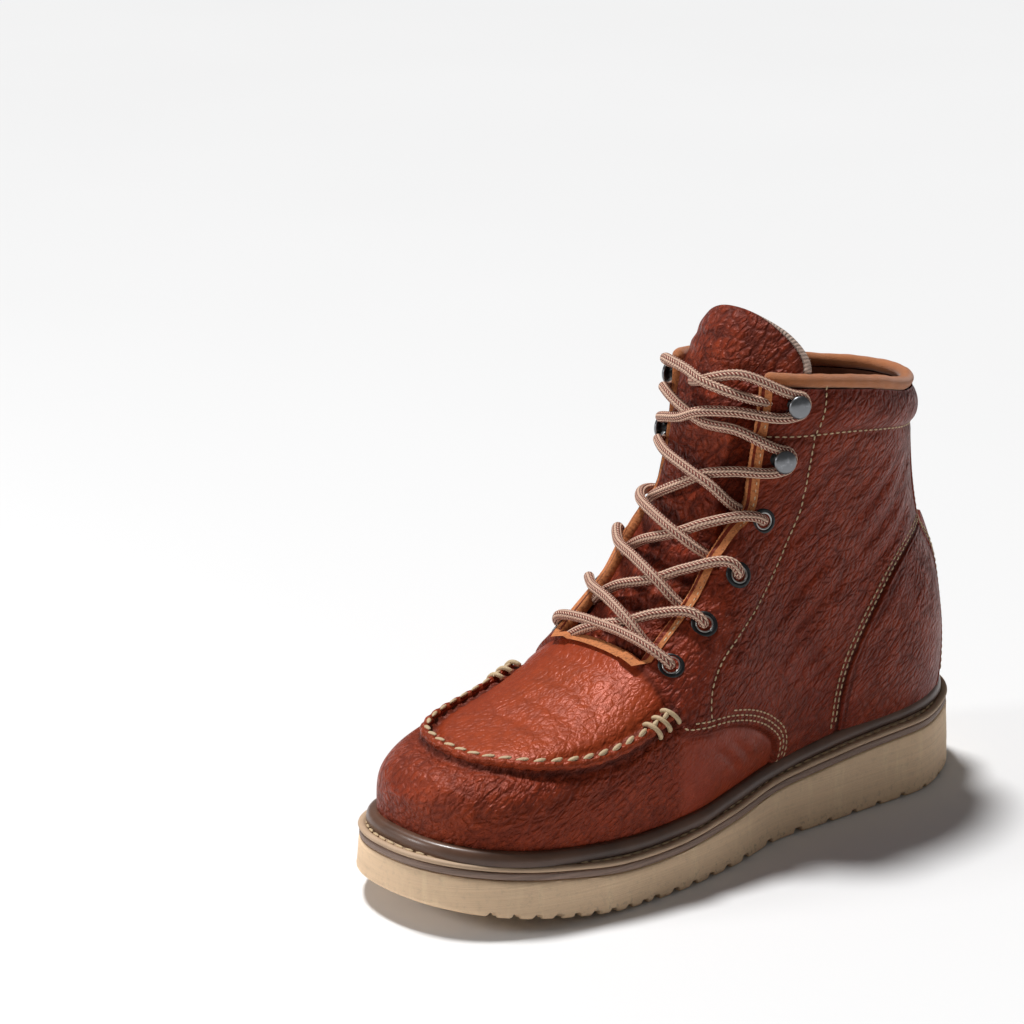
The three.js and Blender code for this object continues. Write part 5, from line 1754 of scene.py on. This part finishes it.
def lace_cord():
    """Round braid: pale yarn with rust yarn that crosses it in a herringbone."""
    s = Shader("lace")
    x, y, _ = s.split(s.map)
    yarn = x * 10
    column = yarn.maths("FLOOR").maths("MODULO", 2.0)
    along = y * 8.5
    rise = (along + yarn * 0.8).maths("FRACT")
    fall = (along - yarn * 0.8).maths("FRACT")
    slope = s.node("ShaderNodeMix", {"data_type": "FLOAT"}, {0: column, 2: rise, 3: fall})
    strand = (slope * 2 * math.pi).maths("SINE") * 0.5 + 0.5
    groove = (yarn.maths("FRACT") * math.pi).maths("SINE")
    fibre = s.noise(3000, 2, 0.6)
    dark = slope.above(0.30, 0.36) * (1 - slope.above(0.92, 0.98))
    body = s.mix(colour("lace"), shade("lace", 0.7), fibre * 0.7)
    body = s.mix(body, colour("lace_fleck"), dark * (0.45 + column * 0.5))
    # Painted shade in the furrows between the yarns, in a darkened rust colour.
    body = s.mix(shade("lace_fleck", 0.45), body, groove.above(0.05, 0.42))
    height = strand * 0.5 + groove + fibre * 0.3
    return s.surface(Base_Color=body, Roughness=0.8, Normal=s.bump(height, 0.5, 0.9))


def rubber():
    """Foamed rubber outsole, brushed in fine level lines, with darker specks that thicken towards its foot.
    """
    s = Shader("rubber")
    x, y, z = s.split(s.place)
    line = s.noise(1.0, 4, 0.65, s.scaled((16, 16, 1900)))
    band = s.noise(1.0, 3, 0.6, s.scaled((9, 9, 330)))
    speck = s.noise(420, 4, 0.7)
    drag = s.noise(1.0, 3, 0.6, s.scaled((170, 170, 20)))
    body = s.mix(colour("outsole"), shade("outsole", 0.72), (line * 0.7 + band * 0.7 - 0.3).clamped())
    body = s.mix(body, shade("outsole", 1.25), drag.above(0.5, 0.75) * 0.3)
    # Darker specks everywhere, thicker in the lowest few millimetres.
    low = 1 - (z * 1000).above(2.0, 9.0)
    body = s.mix(body, shade("outsole", 0.5), (speck.above(0.5, 0.72) * (0.25 + low * 0.6)).clamped())
    height = line * 0.9 + band * 0.5 + speck * 0.3
    return s.surface(Base_Color=body, Roughness=0.72, Normal=s.bump(height, 0.35, 0.7))


def midsole():
    """Stacked midsole, ground smooth, grey pink with level streaks."""
    s = Shader("midsole")
    line = s.noise(1.0, 4, 0.7, s.scaled((22, 22, 1500)))
    chip = s.noise(240, 4, 0.7)
    body = s.mix(colour("midsole"), shade("midsole", 0.6), line.above(0.35, 0.7))
    body = s.mix(body, shade("midsole", 1.5), chip.above(0.6, 0.75) * 0.4)
    return s.surface(Base_Color=body, Roughness=0.6, Normal=s.bump(line + chip * 0.5, 0.35, 0.7))


def welt():
    """Pale leather welt, cloudy, with darker level streaks."""
    s = Shader("welt")
    cloudy = s.noise(90, 4, 0.65)
    line = s.noise(1.0, 3, 0.6, s.scaled((40, 40, 1400)))
    body = s.mix(colour("welt"), shade("welt", 0.55), (cloudy * 0.8 + line * 0.4 - 0.25).clamped())
    return s.surface(Base_Color=body, Roughness=0.6, Normal=s.bump(cloudy + line * 0.4, 0.35, 0.6))


def rand():
    """Glossy brown bead around the foot."""
    s = Shader("rand")
    cloudy = s.noise(40, 3, 0.6)
    scuff = s.noise(500, 3, 0.7)
    body = s.mix(colour("rand"), shade("rand", 0.5), cloudy.above(0.35, 0.65) * 0.7)
    rough = 0.3 + scuff * 0.2
    return s.surface(Base_Color=body, Roughness=rough, Normal=s.bump(cloudy * 0.5 + scuff * 0.3, 0.3, 0.5),
                     Coat_Weight=0.2, Coat_Roughness=0.2)


def metal_finish(name, base, rough, metallic, edge):
    s = Shader(name)
    wear = s.noise(260, 4, 0.65)
    fine = s.noise(1600, 2, 0.6)
    body = s.mix(base, edge, wear.above(0.52, 0.8))
    return s.surface(Base_Color=body, Roughness=rough + wear * 0.15, Metallic=metallic,
                     Normal=s.bump(fine, 0.05, 0.5))


def enamel():
    """Black enamel of the eyelets' rings and the hooks' stems."""
    return metal_finish("enamel", (0.012, 0.013, 0.014, 1), 0.3, 0.4, (0.05, 0.05, 0.05, 1))


def bright():
    """Plain steel inside the eyelets."""
    return metal_finish("bright", (0.55, 0.54, 0.52, 1), 0.22, 1.0, (0.3, 0.29, 0.28, 1))


def gunmetal():
    """Dark plated heads of the hooks."""
    return metal_finish("gunmetal", colour("metal"), 0.26, 1.0, shade("metal", 1.9))


def dark():
    """Shaded inside of an eyelet's hole."""
    return metal_finish("dark", (0.01, 0.008, 0.007, 1), 0.8, 0.0, (0.03, 0.02, 0.015, 1))


MAKERS = {
    "leather": leather, "suede": suede, "raw_edge": raw_edge, "lining": lining, "mesh_lining": mesh_lining,
    "mesh_edge": mesh_edge, "thread": thread, "moc_thread": moc_thread, "lace": lace_cord, "rubber": rubber,
    "midsole": midsole, "welt": welt, "rand": rand, "enamel": enamel, "bright": bright, "gunmetal": gunmetal,
    "dark": dark,
}
MADE = {}


def material(key):
    """A finish by its name, made the first time that it is asked for."""
    if key not in MADE:
        MADE[key] = MAKERS[key]()
    return MADE[key]


# Stage
CAMERA_AT = (0.8259, 0.8545, 0.5004)
CAMERA_WAY = (-0.6237, -0.7250, -0.2922)
CAMERA_LENS = 105.51


def area_light(name, place, target, size, power, tint=(1, 1, 1)):
    deselect()
    bpy.ops.object.light_add(type="AREA", location=place)
    light = bpy.context.object
    light.name = name
    light.data.shape = "DISK"
    light.data.size = size
    light.data.energy = power
    light.data.color = tint
    way = Vector(target) - Vector(place)
    light.rotation_euler = way.to_track_quat("-Z", "Y").to_euler()


def sun_light(name, way, strength, angle):
    deselect()
    bpy.ops.object.light_add(type="SUN", location=(0, 0, 2))
    light = bpy.context.object
    light.name = name
    light.data.energy = strength
    light.data.angle = math.radians(angle)
    light.rotation_euler = Vector(way).to_track_quat("-Z", "Y").to_euler()


def make_stage():
    """Plain pale floor, soft studio light and the camera."""
    deselect()
    bpy.ops.mesh.primitive_plane_add(size=40, location=(0, 0, 0))
    floor = bpy.context.object
    floor.name = "floor"
    s = Shader("floor")
    cloud = s.noise(2, 2, 0.5)
    body = s.mix((0.80, 0.80, 0.80, 1), (0.83, 0.83, 0.83, 1), cloud)
    floor.data.materials.append(s.surface(Base_Color=body, Roughness=0.9))
    world = bpy.data.worlds.new("studio")
    bpy.context.scene.world = world
    world.use_nodes = True
    world.node_tree.nodes["Background"].inputs["Color"].default_value = (0.97, 0.97, 0.98, 1)
    world.node_tree.nodes["Background"].inputs["Strength"].default_value = 0.13
    sun_light("key", (-0.02, 0.32, -1.0), 3.25, 9)
    area_light("left", (1.2, -0.6, 0.6), (0.05, 0, 0.1), 0.35, 6)
    deselect()
    bpy.ops.object.camera_add(location=CAMERA_AT)
    camera = bpy.context.object
    camera.name = "camera"
    camera.rotation_euler = Vector(CAMERA_WAY).to_track_quat("-Z", "Y").to_euler()
    camera.data.lens = CAMERA_LENS
    camera.data.sensor_width = 36
    camera.data.sensor_fit = "HORIZONTAL"
    bpy.context.scene.camera = camera
    bpy.context.scene.view_settings.view_transform = "Standard"
    bpy.context.scene.view_settings.look = "None"


# Settings, operators and panel
class BootSizes(bpy.types.PropertyGroup):
    thread: bpy.props.FloatProperty(
        name="Thread", description="Thickness of the thin seams' thread",
        default=0.00085, min=0.0003, unit="LENGTH")


def tint(name, description, default):
    return bpy.props.FloatVectorProperty(
        name=name, description=description, subtype="COLOR", size=3, min=0, max=1, default=default)


class BootColours(bpy.types.PropertyGroup):
    leather: tint("Leather", "Main tone of the upper", (0.19, 0.019, 0.009))
    leather_warm: tint("Warm leather", "Tone of the toe's wall", (0.42, 0.068, 0.018))
    # Dark leather is also the colour of the painted shade in creases, pebble valleys and along seams.
    leather_dark_and_shade: tint("Dark leather", "Tone in creases and along seams", (0.036, 0.005, 0.004))
    leather_light: tint("Pulled leather", "Tone where the leather is stretched", (0.42, 0.095, 0.04))
    suede: tint("Suede", "Binding and cut edges", (0.56, 0.19, 0.06))
    lining: tint("Lining", "Inside of the boot", (0.22, 0.075, 0.035))
    mesh: tint("Mesh", "Lining of the tongue", (0.30, 0.17, 0.22))
    mesh_edge: tint("Mesh edge", "Edge of the tongue", (0.58, 0.42, 0.34))
    thread: tint("Thread", "Seams", (0.66, 0.48, 0.28))
    lace: tint("Lace", "Pale yarn of the lace", (0.92, 0.64, 0.47))
    lace_fleck: tint("Lace fleck", "Rust yarn of the lace", (0.20, 0.024, 0.012))
    outsole: tint("Outsole", "Foamed rubber", (0.90, 0.64, 0.41))
    midsole: tint("Midsole", "Layer under the welt", (0.30, 0.20, 0.155))
    welt: tint("Welt", "Strip around the foot", (0.58, 0.40, 0.26))
    rand: tint("Rand", "Bead around the foot", (0.115, 0.055, 0.032))
    metal: tint("Metal", "Heads of the hooks", (0.20, 0.205, 0.215))


class BOOT_OT_sole(bpy.types.Operator):
    """Make the outsole, midsole, welt, rand and insole"""
    bl_idname = "boot.sole"
    bl_label = "Sole"

    def execute(self, context):
        make_outsole()
        make_midsole()
        make_welt()
        make_rand()
        make_insole()
        return {"FINISHED"}


class BOOT_OT_upper(bpy.types.Operator):
    """Make the leather upper with its lining and cut edges"""
    bl_idname = "boot.upper"
    bl_label = "Upper"

    def execute(self, context):
        make_upper()
        make_lining()
        make_facing_edge()
        return {"FINISHED"}


class BOOT_OT_overlays(bpy.types.Operator):
    """Make the heel counters and the back strip"""
    bl_idname = "boot.overlays"
    bl_label = "Counters and back strip"

    def execute(self, context):
        make_counter(1)
        make_counter(-1)
        make_back_strip()
        return {"FINISHED"}


class BOOT_OT_tongue(bpy.types.Operator):
    """Make the padded tongue with its mesh lining"""
    bl_idname = "boot.tongue"
    bl_label = "Tongue"

    def execute(self, context):
        make_tongue()
        return {"FINISHED"}


class BOOT_OT_binding(bpy.types.Operator):
    """Make the suede binding of the collar"""
    bl_idname = "boot.binding"
    bl_label = "Collar binding"

    def execute(self, context):
        make_binding()
        return {"FINISHED"}


class BOOT_OT_seams(bpy.types.Operator):
    """Make the toe seam and the stitching"""
    bl_idname = "boot.seams"
    bl_label = "Seams"

    def execute(self, context):
        make_moc_seam()
        make_stitching()
        return {"FINISHED"}


class BOOT_OT_fasteners(bpy.types.Operator):
    """Make the eyelets and the hooks"""
    bl_idname = "boot.fasteners"
    bl_label = "Eyelets and hooks"

    def execute(self, context):
        make_fasteners()
        return {"FINISHED"}


class BOOT_OT_laces(bpy.types.Operator):
    """Make the lace's strands"""
    bl_idname = "boot.laces"
    bl_label = "Laces"

    def execute(self, context):
        make_laces()
        return {"FINISHED"}


class BOOT_OT_stage(bpy.types.Operator):
    """Make the floor, the lights and the camera"""
    bl_idname = "boot.stage"
    bl_label = "Stage"

    def execute(self, context):
        make_stage()
        return {"FINISHED"}


OPERATORS = (BOOT_OT_sole, BOOT_OT_upper, BOOT_OT_overlays, BOOT_OT_tongue, BOOT_OT_binding, BOOT_OT_seams,
             BOOT_OT_fasteners, BOOT_OT_laces, BOOT_OT_stage)


class BOOT_PT_panel(bpy.types.Panel):
    """Sizes, colours and pieces of the boot"""
    bl_idname = "BOOT_PT_panel"
    bl_label = "Work boot"
    bl_space_type = "VIEW_3D"
    bl_region_type = "UI"
    bl_category = "Boot"

    def draw(self, context):
        for group in (context.scene.boot_sizes, context.scene.boot_colours):
            for name in group.bl_rna.properties.keys():
                if name not in ("rna_type", "name"):
                    self.layout.prop(group, name)
        for operator in OPERATORS:
            self.layout.operator(operator.bl_idname)


CLASSES = (BootSizes, BootColours, *OPERATORS, BOOT_PT_panel)


def register():
    for entry in CLASSES:
        bpy.utils.register_class(entry)
    bpy.types.Scene.boot_sizes = bpy.props.PointerProperty(type=BootSizes)
    bpy.types.Scene.boot_colours = bpy.props.PointerProperty(type=BootColours)


def unregister():
    del bpy.types.Scene.boot_colours
    del bpy.types.Scene.boot_sizes
    for entry in reversed(CLASSES):
        bpy.utils.unregister_class(entry)


def main():
    register()
    bpy.ops.boot.sole()
    bpy.ops.boot.upper()
    bpy.ops.boot.overlays()
    bpy.ops.boot.tongue()
    bpy.ops.boot.binding()
    bpy.ops.boot.seams()
    bpy.ops.boot.fasteners()
    bpy.ops.boot.laces()
    bpy.ops.boot.stage()


if __name__ == "__main__":
    main()
